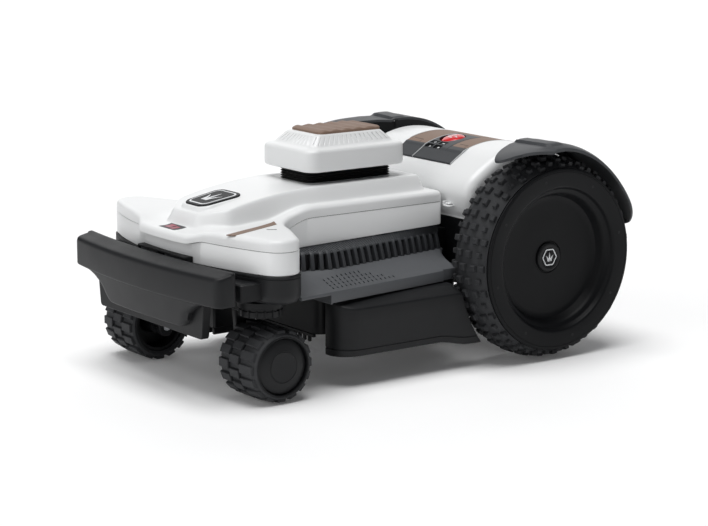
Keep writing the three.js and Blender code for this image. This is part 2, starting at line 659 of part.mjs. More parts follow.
addPair('wheel_rim', wheelRing([
  [SHAFT_R + GAP, 190], [24, 190], [24, DISH_FLOOR_X - 4], [92, DISH_FLOOR_X - 4], [104, 206], [112, 206],
  [112, WHEEL_IN_X + 8], [118 - GAP, WHEEL_IN_X + 8], [118 - GAP, WHEEL_OUT_X - 8 + GAP - 4],
  [RIM_R, WHEEL_OUT_X - 8 + GAP], [RIM_R, WHEEL_OUT_X], [106, WHEEL_OUT_X], [92, DISH_FLOOR_X],
  [SHAFT_R + GAP, DISH_FLOOR_X], [SHAFT_R + GAP, 190],
], 36), BLACK);

addPair('hub_cap', wheelRing([
  [0, DISH_FLOOR_X + GAP], [22, DISH_FLOOR_X + GAP], [21, DISH_FLOOR_X + 3.5], [0, DISH_FLOOR_X + 3.5],
], 20), BLACK);
addPair('wheel_shaft', wheelRing(rod(SHAFT_R, 121, DISH_FLOOR_X), 16), STEEL);

// ---------- casters ----------
function casterFork() {
  const boss = turnZ(
    [[0, 118], [26, 118], [32, 124], [32, TRAY_Z - 0.5], [8, TRAY_Z - 0.5], [8, 172], [0, 172]], CASTER_X, SWIVEL_Y, 20,
  );
  const bridge = box([102, CASTER_X], [SWIVEL_Y - 14, SWIVEL_Y + 20], [118, 132]);
  const arm = prismX([
    [SWIVEL_Y - 14, 132], [CASTER_Y - 12, 48], [CASTER_Y, 38], [CASTER_Y + 12, 48], [SWIVEL_Y + 20, 132],
  ], 102, 111);
  return cut(union(boss, bridge, arm), turnX(rod(6 + GAP, 90, 130), CASTER_Y, CASTER_R, 12));
}
addPair('caster_fork', casterFork(), BLACK);

const casterRing = (profile, segments) => turnX(profile, CASTER_Y, CASTER_R, segments);
addPair('caster_axle', casterRing(rod(6, 100, 176), 12), STEEL);
addPair('caster_tyre', casterRing([
  [40, 118], [49, 116], [CASTER_R, 121], [CASTER_R, 193], [46, 203], [40, CASTER_OUT_X - 1], [40, 118],
], 28), TYRE);
addPair('caster_rim', casterRing([
  [6 + GAP, 126], [14, 126], [16, 150], [34, 150], [34, 122], [40 - GAP, 122], [40 - GAP, 199], [0, 199],
  [0, 177], [6 + GAP, 177], [6 + GAP, 126],
], 20), BLACK);
addPair('caster_cap', casterRing([
  [0, 199 + GAP], [38.6, 199 + GAP], [38.6, 201.5], [22, CASTER_OUT_X], [0, CASTER_OUT_X],
], 20), CHARCOAL);

export default group;
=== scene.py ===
import json
import math

import bpy
import bmesh
import numpy as np
from mathutils import Euler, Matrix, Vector
from mathutils.geometry import delaunay_2d_cdt


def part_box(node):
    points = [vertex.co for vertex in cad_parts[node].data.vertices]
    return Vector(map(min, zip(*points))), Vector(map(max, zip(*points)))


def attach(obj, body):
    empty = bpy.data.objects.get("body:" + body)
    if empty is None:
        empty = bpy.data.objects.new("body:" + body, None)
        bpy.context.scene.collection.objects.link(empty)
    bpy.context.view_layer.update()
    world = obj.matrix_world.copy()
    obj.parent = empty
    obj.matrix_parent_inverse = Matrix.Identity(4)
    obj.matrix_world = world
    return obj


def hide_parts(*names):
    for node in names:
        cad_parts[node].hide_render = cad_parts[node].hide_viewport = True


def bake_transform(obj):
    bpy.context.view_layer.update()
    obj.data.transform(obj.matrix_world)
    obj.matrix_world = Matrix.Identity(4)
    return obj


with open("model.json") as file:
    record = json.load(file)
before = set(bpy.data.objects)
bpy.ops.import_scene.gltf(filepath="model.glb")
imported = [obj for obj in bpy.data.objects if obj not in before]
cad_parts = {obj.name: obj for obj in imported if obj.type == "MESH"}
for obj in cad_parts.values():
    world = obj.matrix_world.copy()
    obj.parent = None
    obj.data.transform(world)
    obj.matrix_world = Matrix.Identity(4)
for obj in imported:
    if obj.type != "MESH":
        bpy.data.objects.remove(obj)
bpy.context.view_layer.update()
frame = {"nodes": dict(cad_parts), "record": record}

MM = 0.001
TAU = 2 * math.pi


def box_mm(node):
    """Lowest and highest corners of a CAD node, in millimetres."""
    low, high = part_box(node)
    return np.array(low) / MM, np.array(high) / MM


def linked(name, data):
    """A new object in the scene that shows some data."""
    made = bpy.data.objects.new(name, data)
    bpy.context.scene.collection.objects.link(made)
    return made


def set_inputs(node, values):
    """Sets inputs of a shader node by their names."""
    for name, value in values.items():
        node.inputs[name].default_value = value
    return node


def shade(mesh, sharp):
    """Smooth shading, with edges sharper than so many degrees left crisp."""
    mesh.shade_smooth()
    mesh.set_sharp_from_angle(angle=math.radians(sharp))


# ---------------------------------------------------------------- camera, light and floor
CAMERA_AZIMUTH = math.radians(54.1)
CAMERA_ELEVATION = math.radians(11.37)
CAMERA_PLACE = (2.6668, -1.9293, 0.7946)
CAMERA_LENS = 114.92


def make_camera():
    data = bpy.data.cameras.new("camera")
    data.sensor_width = 36.0
    data.lens = CAMERA_LENS
    camera = linked("camera", data)
    camera.location = CAMERA_PLACE
    camera.rotation_euler = (math.pi / 2 - CAMERA_ELEVATION, 0, CAMERA_AZIMUTH)
    bpy.context.scene.camera = camera


def sun_light(name, direction, spread, strength):
    """Even light from a direction, as soft as a window spread degrees wide."""
    data = bpy.data.lights.new(name, "SUN")
    data.angle = math.radians(spread)
    data.energy = strength
    linked(name, data).rotation_euler = Vector(direction).to_track_quat("Z", "Y").to_euler()


def make_world():
    """Faint light from all around, and plain white where the camera sees past the floor."""
    world = bpy.data.worlds.new("studio")
    world.use_nodes = True
    bpy.context.scene.world = world
    tree = world.node_tree
    tree.nodes.clear()
    out = tree.nodes.new("ShaderNodeOutputWorld")
    mix = tree.nodes.new("ShaderNodeMixShader")
    path = tree.nodes.new("ShaderNodeLightPath")
    soft, seen = tree.nodes.new("ShaderNodeBackground"), tree.nodes.new("ShaderNodeBackground")
    set_inputs(soft, {"Color": (0.93, 0.95, 1.0, 1), "Strength": 0.11})
    set_inputs(seen, {"Color": (1, 1, 1, 1), "Strength": 1.0})
    tree.links.new(path.outputs["Is Camera Ray"], mix.inputs["Fac"])
    tree.links.new(soft.outputs[0], mix.inputs[1])
    tree.links.new(seen.outputs[0], mix.inputs[2])
    tree.links.new(mix.outputs[0], out.inputs["Surface"])


def make_floor():
    bpy.ops.mesh.primitive_plane_add(size=30, location=(0, 0, -0.0002))
    floor = bpy.context.object
    floor.name = "floor"
    material = bpy.data.materials.new("pale_floor")
    material.use_nodes = True
    set_inputs(material.node_tree.nodes["Principled BSDF"], {
        "Base Color": (0.96, 0.96, 0.96, 1), "Roughness": 0.9,
        "Emission Color": (1, 1, 1, 1), "Emission Strength": 0.05,
    })
    floor.data.materials.append(material)


bpy.context.scene.view_settings.view_transform = "Standard"
make_camera()
make_world()
make_floor()
sun_light("top_light", (0.03, -0.14, 1.0), spread=42, strength=2.5)
sun_light("front_light", (-0.05, -1.0, 0.38), spread=50, strength=0.72)
sun_light("back_light", (-0.81, 0.586, 0.40), spread=55, strength=0.7)


# ---------------------------------------------------------------- materials
def linear(rgb):
    """An sRGB colour, 0 to 255, as linear light."""
    return [((c / 255 + 0.055) / 1.055) ** 2.4 if c > 10 else c / 255 / 12.92 for c in rgb]


ROUGHNESS_SWING = 0.06
GRAIN_DEPTH = 0.25


def surface(
    name, rgb, roughness, grain=0.2, grain_mm=0.6, mottle=0.06, mottle_mm=40,
    metallic=0.0, coat=0.0, specular=0.5,
):
    """A moulded or painted surface: fine grain in the bump, slow mottling in colour and roughness."""
    material = bpy.data.materials.new(name)
    material.use_nodes = True
    nodes, link = material.node_tree.nodes, material.node_tree.links.new
    shader = set_inputs(nodes["Principled BSDF"], {
        "Metallic": metallic, "Coat Weight": coat, "Specular IOR Level": specular,
    })
    place = nodes.new("ShaderNodeTexCoord")
    slow = set_inputs(nodes.new("ShaderNodeTexNoise"), {"Scale": 1000 / mottle_mm, "Detail": 3})
    link(place.outputs["Object"], slow.inputs["Vector"])
    colour = nodes.new("ShaderNodeMix")
    colour.data_type = "RGBA"
    base = np.array(linear(rgb))
    for end, change in (("A", -mottle), ("B", mottle)):
        colour.inputs[end].default_value = (*np.clip(base * (1 + change), 0, 1), 1)
    link(slow.outputs["Fac"], colour.inputs["Factor"])
    link(colour.outputs["Result"], shader.inputs["Base Color"])
    fine = set_inputs(nodes.new("ShaderNodeTexNoise"), {"Scale": 1000 / grain_mm, "Detail": 2})
    link(place.outputs["Object"], fine.inputs["Vector"])
    span = set_inputs(nodes.new("ShaderNodeMapRange"), {
        "To Min": max(0.02, roughness - ROUGHNESS_SWING), "To Max": min(1.0, roughness + ROUGHNESS_SWING),
    })
    link(slow.outputs["Fac"], span.inputs["Value"])
    link(span.outputs["Result"], shader.inputs["Roughness"])
    depth = grain_mm * GRAIN_DEPTH * MM
    bump = set_inputs(nodes.new("ShaderNodeBump"), {"Strength": grain, "Distance": depth})
    link(fine.outputs["Fac"], bump.inputs["Height"])
    link(bump.outputs["Normal"], shader.inputs["Normal"])
    return material


WHITE = surface("white_shell", (232, 233, 233), 0.36, grain=0.05, mottle=0.012, mottle_mm=120, coat=0.12)
CHARCOAL = surface("charcoal_plastic", (22, 23, 25), 0.50, grain=0.25, grain_mm=0.5, specular=0.3)
MOULDED = {"grain": 0.22, "grain_mm": 0.5}
BLACK = surface("black_plastic", (18, 19, 21), 0.48, specular=0.25, **MOULDED)
SLATE = surface("slate_plastic", (58, 60, 63), 0.50, specular=0.4, **MOULDED)
DECK_GREY = surface("deck_plastic", (84, 86, 89), 0.50, specular=0.45, **MOULDED)
GREY = surface("grey_plastic", (56, 58, 61), 0.50, specular=0.45, **MOULDED)
RIM_BLACK = surface("rim_plastic", (15, 16, 18), 0.44, grain=0.18, grain_mm=0.5, mottle=0.04, specular=0.15)
BROWN = surface("brown_trim", (128, 105, 90), 0.58, grain=0.35, grain_mm=0.8, mottle=0.08, mottle_mm=18)
RED = surface("red_button", (214, 30, 36), 0.26, grain=0.04, mottle=0.03, coat=0.4)
RUBBER = surface(
    "tyre_rubber", (48, 49, 51), 0.62, grain=0.5, grain_mm=1.1, mottle=0.18, mottle_mm=25, specular=0.3,
)
BELLOWS = surface("bellows_rubber", (26, 26, 27), 0.6, grain=0.3, grain_mm=0.9, mottle=0.1, specular=0.3)
SIGNAL_RED = surface("signal_red", (150, 34, 62), 0.3, grain=0.04, mottle=0.05)
STEEL = surface("steel", (190, 192, 196), 0.30, grain=0.15, grain_mm=0.4, mottle=0.05, metallic=1.0)
CASTING = surface("motor_casing", (150, 152, 156), 0.45, grain=0.35, grain_mm=1.2, mottle=0.08, metallic=0.9)
BATTERY = surface("battery_casing", (40, 62, 104), 0.35, grain=0.1, mottle=0.05)
BOARD = surface("circuit_board", (28, 92, 52), 0.4, grain=0.3, grain_mm=2.5, mottle=0.25, mottle_mm=5)
LINE_WHITE = surface("printed_white", (226, 228, 230), 0.4, grain=0.05, mottle=0.02)
TRIM_LIGHT = surface("light_grey_trim", (188, 190, 191), 0.4, grain=0.08, mottle=0.03)

CAD_LOOKS = {
    "steel": STEEL, "motor_casing": CASTING, "battery_casing": BATTERY, "circuit_board": BOARD,
    "white_shell": WHITE, "charcoal_plastic": CHARCOAL, "black_plastic": BLACK, "grey_plastic": GREY,
    "brown_trim": BROWN, "red_button": RED, "bellows_rubber": BELLOWS, "tyre": RUBBER,
}
for part in frame["record"]["subparts"]:
    node = frame["nodes"][part["node"]]
    node.data.materials.clear()
    node.data.materials.append(CAD_LOOKS[part["material_slot"]])
    shade(node.data, 30)


# ---------------------------------------------------------------- mesh helpers
def made_mesh(name, verts, faces):
    """A mesh from points in millimetres, with doubles merged and its faces turned outwards."""
    mesh = bpy.data.meshes.new(name)
    mesh.from_pydata([tuple(float(c) * MM for c in v) for v in verts], [], [tuple(f) for f in faces])
    mesh.validate()
    work = bmesh.new()
    work.from_mesh(mesh)
    bmesh.ops.remove_doubles(work, verts=work.verts, dist=1e-6)
    bmesh.ops.recalc_face_normals(work, faces=work.faces)
    work.to_mesh(mesh)
    work.free()
    return mesh


def piece(name, verts, faces, material, body, nodes=(), sharp=35):
    """Makes a mesh object; it rides on a CAD body, if one is given."""
    mesh = made_mesh(name, verts, faces)
    shade(mesh, sharp)
    mesh.materials.append(material)
    shown = linked(name, mesh)
    if body:
        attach(shown, body)
    if nodes:
        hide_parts(*nodes)
    return shown


def join(*parts):
    """Several (verts, faces) lists as one."""
    verts, faces = [], []
    for some_verts, some_faces in parts:
        shift = len(verts)
        verts.extend(some_verts)
        faces.extend([[i + shift for i in face] for face in some_faces])
    return verts, faces


def loft(rings, closed=False):
    """Faces between rings of as many points each; the ends are shut, or joined to each other if closed."""
    count = len(rings[0])
    verts = [tuple(p) for ring in rings for p in ring]
    faces = []
    steps = len(rings) if closed else len(rings) - 1
    for i in range(steps):
        a, b = i * count, ((i + 1) % len(rings)) * count
        for j in range(count):
            k = (j + 1) % count
            faces.append([a + j, a + k, b + k, b + j])
    if not closed:
        faces.append(list(range(count))[::-1])
        faces.append([len(verts) - count + j for j in range(count)])
    return verts, faces


def lathe_x(profile, y, z, segments=96):
    """A closed profile of (radius, x) points turned about the line along X through y, z."""
    rings = []
    for i in range(segments):
        turn = TAU * i / segments
        rings.append([(x, y + r * math.cos(turn), z + r * math.sin(turn)) for r, x in profile])
    return loft(rings, closed=True)


def mirrored(shape):
    verts, faces = shape
    return [(-x, y, z) for x, y, z in verts], [face[::-1] for face in faces]


def both_sides(name, shape, material, body, nodes=(), **more):
    """The left piece and its mirror image; {} in the names stands for left and right."""
    for side, half in (("left", shape), ("right", mirrored(shape))):
        piece(
            f"{name}_{side}", *half, material, body.format(side),
            nodes=[n.format(side) for n in nodes], **more,
        )


def rounded(points, radius, steps=5):
    """A closed outline with its corners rounded."""
    points = [np.array(p, float) for p in points]
    radii = radius if hasattr(radius, "__len__") else [radius] * len(points)
    out = []
    for i, corner in enumerate(points):
        before, after = points[i - 1] - corner, points[(i + 1) % len(points)] - corner
        before_length, after_length = np.linalg.norm(before), np.linalg.norm(after)
        before, after = before / before_length, after / after_length
        angle = math.acos(np.clip(np.dot(before, after), -1, 1))
        reach = radii[i] / max(math.tan(angle / 2), 1e-6)
        reach = min(reach, 0.48 * before_length, 0.48 * after_length)
        if radii[i] < 1e-6 or angle > math.pi - 0.02:
            out.append(tuple(corner))
            continue
        start, end = corner + before * reach, corner + after * reach
        for s in np.linspace(0, 1, steps + 1):
            out.append(tuple((1 - s) ** 2 * start + 2 * s * (1 - s) * corner + s ** 2 * end))
    return out


def resample(outline, spacing):
    """A closed outline with points about spacing apart, keeping its own points."""
    out = []
    for i, a in enumerate(outline):
        b = outline[(i + 1) % len(outline)]
        steps = max(1, int(round(math.dist(a, b) / spacing)))
        for s in range(steps):
            out.append((a[0] + (b[0] - a[0]) * s / steps, a[1] + (b[1] - a[1]) * s / steps))
    return out


def inset(outline, distance):
    """A closed counter-clockwise outline moved inwards by distance."""
    p = np.array(outline, float)
    ahead, behind = np.roll(p, -1, 0) - p, p - np.roll(p, 1, 0)
    ahead /= np.maximum(np.linalg.norm(ahead, axis=1, keepdims=True), 1e-9)
    behind /= np.maximum(np.linalg.norm(behind, axis=1, keepdims=True), 1e-9)
    normal = np.stack([-(ahead + behind)[:, 1], (ahead + behind)[:, 0]], 1)
    normal /= np.maximum(np.linalg.norm(normal, axis=1, keepdims=True), 1e-9)
    lean = np.maximum((normal * np.stack([-ahead[:, 1], ahead[:, 0]], 1)).sum(1, keepdims=True), 0.5)
    return [tuple(q) for q in p + normal * distance / lean]


def slab(outline, levels, move=None):
    """A plate from a counter-clockwise outline, through (z, inset) levels, with flat ends."""
    rings = [[(x, y, z) for x, y in inset(outline, d)] for z, d in levels]
    verts, faces = loft(rings)
    if move:
        verts = [move(*v) for v in verts]
    return verts, faces


def smooth_step(low, high, value):
    t = np.clip((value - low) / (high - low), 0, 1)
    return t * t * (3 - 2 * t)


# ---------------------------------------------------------------- places worked out from the frame
tyre_low, tyre_high = box_mm("wheel_tyre_left")
AXLE_Y, AXLE_Z = (tyre_low[1] + tyre_high[1]) / 2, (tyre_low[2] + tyre_high[2]) / 2
WHEEL_R = (tyre_high[2] - tyre_low[2]) / 2
TYRE_IN_X, TYRE_OUT_X = tyre_low[0], tyre_high[0]
rim_low, rim_high = box_mm("wheel_rim_left")
RIM_R, RIM_OUT_X = (rim_high[2] - rim_low[2]) / 2, rim_high[0]
hub_cap_low, hub_cap_high = box_mm("hub_cap_left")
HUB_CAP_R, DISH_X = (hub_cap_high[2] - hub_cap_low[2]) / 2, hub_cap_low[0]

# ---------------------------------------------------------------- drive wheels
KNOB_ROWS = 46
KNOB_HEIGHT = 5.5
KNOB_ROOT = -2.0
# a knob's place across the tread, -1 to 1, its width and its length, in even and in odd rows
KNOB_COLUMNS = (
    ((-0.27, 9, 9), (0.27, 9, 9), (0.72, 6, 7), (-0.72, 6, 7)),
    ((-0.52, 9, 8.5), (0.0, 9.5, 9.5), (0.52, 9, 8.5), (0.84, 7.5, 8.5), (-0.84, 7.5, 8.5)),
)
CARCASS_R = WHEEL_R - KNOB_HEIGHT
SHOULDER_DROP = 12.5


def tyre_section(x_part):
    """Radius of the tyre's carcass at x_part, -1 at its inner edge to 1 at the rim side."""
    return CARCASS_R - SHOULDER_DROP * abs(x_part) ** 2.6


def drive_tyre():
    middle, half = (TYRE_IN_X + TYRE_OUT_X) / 2 - 2, (TYRE_OUT_X - TYRE_IN_X) / 2 - 3
    crown = [(tyre_section(t), middle + half * t) for t in np.linspace(-1, 1, 15)]
    bead_out = [(RIM_R + 0.8, TYRE_OUT_X - 2.2), (RIM_R - 2, TYRE_OUT_X - 5), (119, TYRE_OUT_X - 13)]
    bead_in = [(119, TYRE_IN_X + 8), (124, TYRE_IN_X + 4)]
    parts = [lathe_x(crown + bead_out + bead_in, AXLE_Y, AXLE_Z, 92)]
    for row in range(KNOB_ROWS):
        turn = TAU * row / KNOB_ROWS
        for t, wide, long in KNOB_COLUMNS[row % 2]:
            parts.append(knob(turn, middle + half * t, tyre_section(t), t, wide, long))
    return join(*parts)


def knob(turn, x, radius, lean, wide, long):
    """One tread knob: a tapered block with a chamfered top, standing off the carcass."""
    tilt = 0.55 * lean * abs(lean)
    up = np.array([math.sin(tilt), math.cos(tilt) * math.cos(turn), math.cos(tilt) * math.sin(turn)])
    along = np.array([0, -math.sin(turn), math.cos(turn)])
    across = np.cross(along, up)
    root = np.array([x, AXLE_Y + radius * math.cos(turn), AXLE_Z + radius * math.sin(turn)])
    top = KNOB_HEIGHT - (0.25 if abs(lean) < 0.1 else 0.45 + 0.6 * abs(lean))
    rings = []
    for height, grow in ((KNOB_ROOT, 1.16), (top - 0.9, 0.98), (top, 0.80)):
        ring = []
        for sx, sy in ((-1, -1), (1, -1), (1, 1), (-1, 1)):
            corner = root + up * height + across * sx * wide / 2 * grow
            ring.append(tuple(corner + along * sy * long / 2 * grow))
        rings.append(ring)
    return loft(rings)


SCREW_COUNT, SCREW_CIRCLE_R = 8, 119


def drive_rim():
    """A flat outer plate with a deep round dish, and a barrel behind it under the tyre."""
    x = RIM_OUT_X
    profile = [
        (8.4, DISH_X - 7), (24, DISH_X - 7), (26, DISH_X - 4), (91, DISH_X - 4), (108, DISH_X + 4),
        (114, DISH_X - 4), (114, TYRE_IN_X + 9), (117.5, TYRE_IN_X + 9), (117.5, x - 14),
        (RIM_R - 4, x - 4), (RIM_R, x - 2.2), (RIM_R - 0.6, x - 0.7), (RIM_R - 2.4, x - 0.1),
        (RIM_R - 4.2, x),
        (RIM_R - 4.5, x - 0.5), (RIM_R - 5.0, x - 0.5), (RIM_R - 5.3, x), (109, x - 0.2), (107, x - 0.7),
        (105.6, x - 2.2), (104.6, x - 5), (103.4, x - 7.2), (101.8, x - 8.2), (98.6, x - 9.2),
        (96.8, x - 10.6),
        (94.6, x - 15),
        (92.6, DISH_X + 6), (90.6, DISH_X + 2.2), (87, DISH_X + 0.5), (82, DISH_X), (60, DISH_X - 0.2),
        (HUB_CAP_R + 2.2, DISH_X - 0.2), (HUB_CAP_R + 1.2, DISH_X - 1.4), (8.4, DISH_X - 1.4),
    ]
    return lathe_x(profile, AXLE_Y, AXLE_Z, 144)


def rim_screws():
    """Small countersunk screw heads round the flat plate."""
    x = RIM_OUT_X
    head = [(0, x - 0.35), (0.7, x - 0.35), (0.9, x - 0.02), (2.0, x), (2.2, x - 0.5), (0, x - 0.6)]
    parts = []
    for i in range(SCREW_COUNT):
        turn = TAU * (i + 0.3) / SCREW_COUNT
        y, z = AXLE_Y + SCREW_CIRCLE_R * math.cos(turn), AXLE_Z + SCREW_CIRCLE_R * math.sin(turn)
        parts.append(lathe_x(head, y, z, 12))
    return join(*parts)


def hub_cap():
    x, r = DISH_X, HUB_CAP_R
    profile = [
        (0, x + 3.1), (8.5, x + 3.2), (9.2, x + 2.8), (9.9, x + 3.2), (13.5, x + 3.2), (14, x + 2.6),
        (14.6, x + 3.2), (r - 3.2, x + 3.3), (r - 1.2, x + 2.9), (r - 0.3, x + 1.8), (r, x + 0.4),
        (r, x - 0.9),
        (0, x - 0.9),
    ]
    return lathe_x(profile, AXLE_Y, AXLE_Z, 64)


both_sides("drive_tyre", drive_tyre(), RUBBER, "drive_wheel_{}", ["wheel_tyre_{}"], sharp=28)
both_sides("drive_rim", drive_rim(), RIM_BLACK, "drive_wheel_{}", ["wheel_rim_{}"])
both_sides("drive_rim_screws", rim_screws(), CHARCOAL, "drive_wheel_{}")
both_sides("drive_hub_cap", hub_cap(), BLACK, "drive_wheel_{}", ["hub_cap_{}"], sharp=50)

# ---------------------------------------------------------------- casters
caster_low, caster_high = box_mm("caster_tyre_left")
CASTER_Y, CASTER_Z = (caster_low[1] + caster_high[1]) / 2, (caster_low[2] + caster_high[2]) / 2
CASTER_R = (caster_high[2] - caster_low[2]) / 2
CASTER_IN_X, CASTER_OUT_X = caster_low[0], caster_high[0]
TREAD_HALF = 37
LUGS = 16
LUG_HEIGHT = 4.6


def caster_tyre():
    """A wide tread with blocky lugs in three columns, staggered, that run over the shoulder."""
    base = CASTER_R - LUG_HEIGHT
    middle = CASTER_IN_X + 4 + TREAD_HALF
    inner, out = CASTER_IN_X, CASTER_OUT_X
    profile = [
        (40.2, inner + 3), (base - 3, inner + 1.2), (base - 0.6, inner + 3), (base, inner + 6),
        (base, middle + TREAD_HALF - 2), (base - 0.8, middle + TREAD_HALF + 2), (base - 2.5, out - 4.5),
        (44.2, out - 1.4), (42.8, out - 0.9), (40.2, out - 1.6),
    ]
    parts = [lathe_x(profile, CASTER_Y, CASTER_Z, 96)]
    wide, step = 2 * TREAD_HALF / 3, TAU / LUGS
    for i in range(LUGS):
        for column, shift in ((-1, 0.0), (0, 0.5), (1, 0.0)):
            turn = step * (i + shift)
            x0 = middle + (column - 0.5) * wide + (1.5 if column > -1 else 0.5)
            x1 = middle + (column + 0.5) * wide - (1.5 if column < 1 else -3.5)
            parts.append(lug(turn, x0, x1, base, 0.31 * step if column else 0.29 * step, column))
    return join(*parts)


def lug(turn, x0, x1, base, half_angle, column):
    """One tread lug; those of the outer column drop towards the shoulder."""
    rings = []
    for radius, grow in ((base - 1.5, 1.08), (CASTER_R - 0.9, 1.0), (CASTER_R - 0.05, 0.88)):
        ring = []
        edge = (1 - grow) * 5
        drop = 2.2 if column > 0 and radius > base else 0
        start, end = x0 + edge, x1 - edge
        for x, s, low in ((start, -1, 0), (end, -1, drop), (end, 1, drop), (start, 1, 0)):
            a = turn + s * half_angle * grow
            r = radius - low
            ring.append((x, CASTER_Y + r * math.cos(a), CASTER_Z + r * math.sin(a)))
        rings.append(ring)
    return loft(rings)


def caster_rim():
    inner, out = CASTER_IN_X, CASTER_OUT_X
    profile = [
        (6.4, inner + 10), (14, inner + 10), (17, inner + 34), (34, inner + 34), (35, inner + 6),
        (39.8, inner + 6), (39.8, out - 2), (41.6, out - 1.2), (42, out - 0.7), (41.2, out - 0.35),
        (40.2, out - 0.5), (39.3, out - 2.4), (39.3, out - 8.4), (0, out - 8.4), (0, out - 27),
        (6.4, out - 27),
    ]
    return lathe_x(profile, CASTER_Y, CASTER_Z, 96)


def caster_cap():
    """A shallow cone with a raised ring line and a flat middle."""
    out = CASTER_OUT_X
    profile = [
        (0, out - 0.05), (20.4, out - 0.15), (20.9, out - 0.9), (21.7, out - 0.9), (22.3, out - 0.4),
        (30, out - 2.2), (36.4, out - 4.0), (37.8, out - 4.8), (38.2, out - 6), (38.2, out - 8),
        (0, out - 8),
    ]
    return lathe_x(profile, CASTER_Y, CASTER_Z, 96)


both_sides("caster_tread", caster_tyre(), RUBBER, "caster_wheel_{}", ["caster_tyre_{}"], sharp=28)
both_sides("caster_wheel_rim", caster_rim(), BLACK, "caster_wheel_{}", ["caster_rim_{}"])
both_sides("caster_wheel_cap", caster_cap(), CHARCOAL, "caster_wheel_{}", ["caster_cap_{}"])

# ---------------------------------------------------------------- more mesh helpers
def arc(x, y, r, start, end, steps):
    return [(x + r * math.cos(a), y + r * math.sin(a)) for a in np.linspace(start, end, steps + 1)]


def bezier(p0, p1, p2, p3, steps):
    p0, p1, p2, p3 = (np.array(p, float) for p in (p0, p1, p2, p3))
    return [
        tuple((1 - t) ** 3 * p0 + 3 * t * (1 - t) ** 2 * p1 + 3 * t * t * (1 - t) * p2 + t ** 3 * p3)
        for t in np.linspace(0, 1, steps + 1)
    ]


def smooth_line(points, steps=8):
    """An open curve that runs smoothly through the points."""
    p = [np.array(q, float) for q in points]
    p = [2 * p[0] - p[1], *p, 2 * p[-1] - p[-2]]
    out = []
    for a, b, c, d in zip(p, p[1:], p[2:], p[3:]):
        square, cube = 2 * a - 5 * b + 4 * c - d, 3 * b - a - 3 * c + d
        for t in np.linspace(0, 1, steps, endpoint=False):
            out.append(tuple(0.5 * (2 * b + (c - a) * t + square * t ** 2 + cube * t ** 3)))
    return out + [tuple(p[-2])]


def even(line, count):
    """count + 1 points at equal steps along an open curve."""
    line = np.array(line, float)
    run = np.concatenate([[0], np.cumsum(np.linalg.norm(np.diff(line, axis=0), axis=1))])
    at = np.linspace(0, run[-1], count + 1)
    return [tuple(p) for p in np.stack([np.interp(at, run, line[:, k]) for k in range(line.shape[1])], 1)]


def read_off(line, at, along):
    """One coordinate of a curve where its other one, number along, is at."""
    return float(np.interp(at, [p[along] for p in line], [p[1 - along] for p in line]))


def corner_pull(x, radius, half):
    """How far a corner of this radius has come in at x, on a shape that reaches half to each side."""
    e = np.clip((abs(x) - (half - radius)) / radius, 0, 1)
    return radius * (1 - math.sqrt(1 - e * e))


def rectangle(half_x, front, back, radius, steps=6):
    """A counter-clockwise rectangle with round corners, the same number of points for any size."""
    quarter = math.pi / 2
    out = arc(half_x - radius, front + radius, radius, -quarter, 0, steps)
    out += arc(half_x - radius, back - radius, radius, 0, quarter, steps)
    out += arc(radius - half_x, back - radius, radius, quarter, 2 * quarter, steps)
    return out + arc(radius - half_x, front + radius, radius, 2 * quarter, 3 * quarter, steps)


def signed_distance(points, outline):
    """Distances of points from a closed outline, negative inside it."""
    p, a = np.array(points, float), np.array(outline, float)
    b = np.roll(a, -1, 0)
    along = b - a
    gap = p[:, None] - a[None]
    t = np.clip((gap * along).sum(-1) / np.maximum((along * along).sum(-1), 1e-12), 0, 1)
    distance = np.linalg.norm(gap - t[..., None] * along, axis=-1).min(1)
    crosses = (a[:, 1] > p[:, None, 1]) != (b[:, 1] > p[:, None, 1])
    rise = np.where(np.abs(along[:, 1]) < 1e-12, 1e-12, along[:, 1])
    left_of = p[:, None, 0] < along[:, 0] * (p[:, None, 1] - a[:, 1]) / rise + a[:, 0]
    inside = (crosses & left_of).sum(1) % 2 == 1
    return np.where(inside, -distance, distance)


def block(x_span, y_span, z_span, bevel=0.8):
    """A box with bevelled edges."""
    (x0, x1), (y0, y1), (z0, z1) = x_span, y_span, z_span
    outline = [
        (x0 + bevel, y0), (x1 - bevel, y0), (x1, y0 + bevel), (x1, y1 - bevel),
        (x1 - bevel, y1), (x0 + bevel, y1), (x0, y1 - bevel), (x0, y0 + bevel),
    ]
    return slab(outline, [(z0, bevel), (z0 + bevel, 0), (z1 - bevel, 0), (z1, bevel)])


def band(outline, section):
    """A closed ring that follows an outline; section(x, y) gives its (inset, z) points at a place."""
    depths = sorted({d for d, _ in section(*outline[0])})
    inner = {d: inset(outline, d) for d in depths}
    rings = []
    for i, (x, y) in enumerate(outline):
        rings.append([(*inner[d][i], z) for d, z in section(x, y)])
    return loft(rings, closed=True)


def turned(shape, place, about_x=0.0, about_z=0.0):
    """A shape made at the origin, tilted about X, turned about Z, and moved to its place."""
    verts, faces = shape
    turn = Euler((about_x, 0, about_z)).to_matrix()
    return [tuple(turn @ Vector(v) + Vector(place)) for v in verts], faces


def lathe_z(profile, segments=64):
    """A profile of (radius, z) points turned about the upright line through the origin."""
    verts, faces = lathe_x(profile, 0, 0, segments)
    return [(y, z, x) for x, y, z in verts], faces


def carve(shown, *shapes):
    """Cuts closed shapes out of a piece."""
    for shape in shapes:
        mesh = made_mesh("cutter", *shape)
        tool = linked("cutter", mesh)
        step = shown.modifiers.new("cut", "BOOLEAN")
        step.operation, step.solver, step.object = "DIFFERENCE", "EXACT", tool
        result = shown.evaluated_get(bpy.context.evaluated_depsgraph_get())
        shown.data = bpy.data.meshes.new_from_object(result)
        shown.modifiers.clear()
        bpy.data.objects.remove(tool)
        bpy.data.meshes.remove(mesh)
    shade(shown.data, 30)


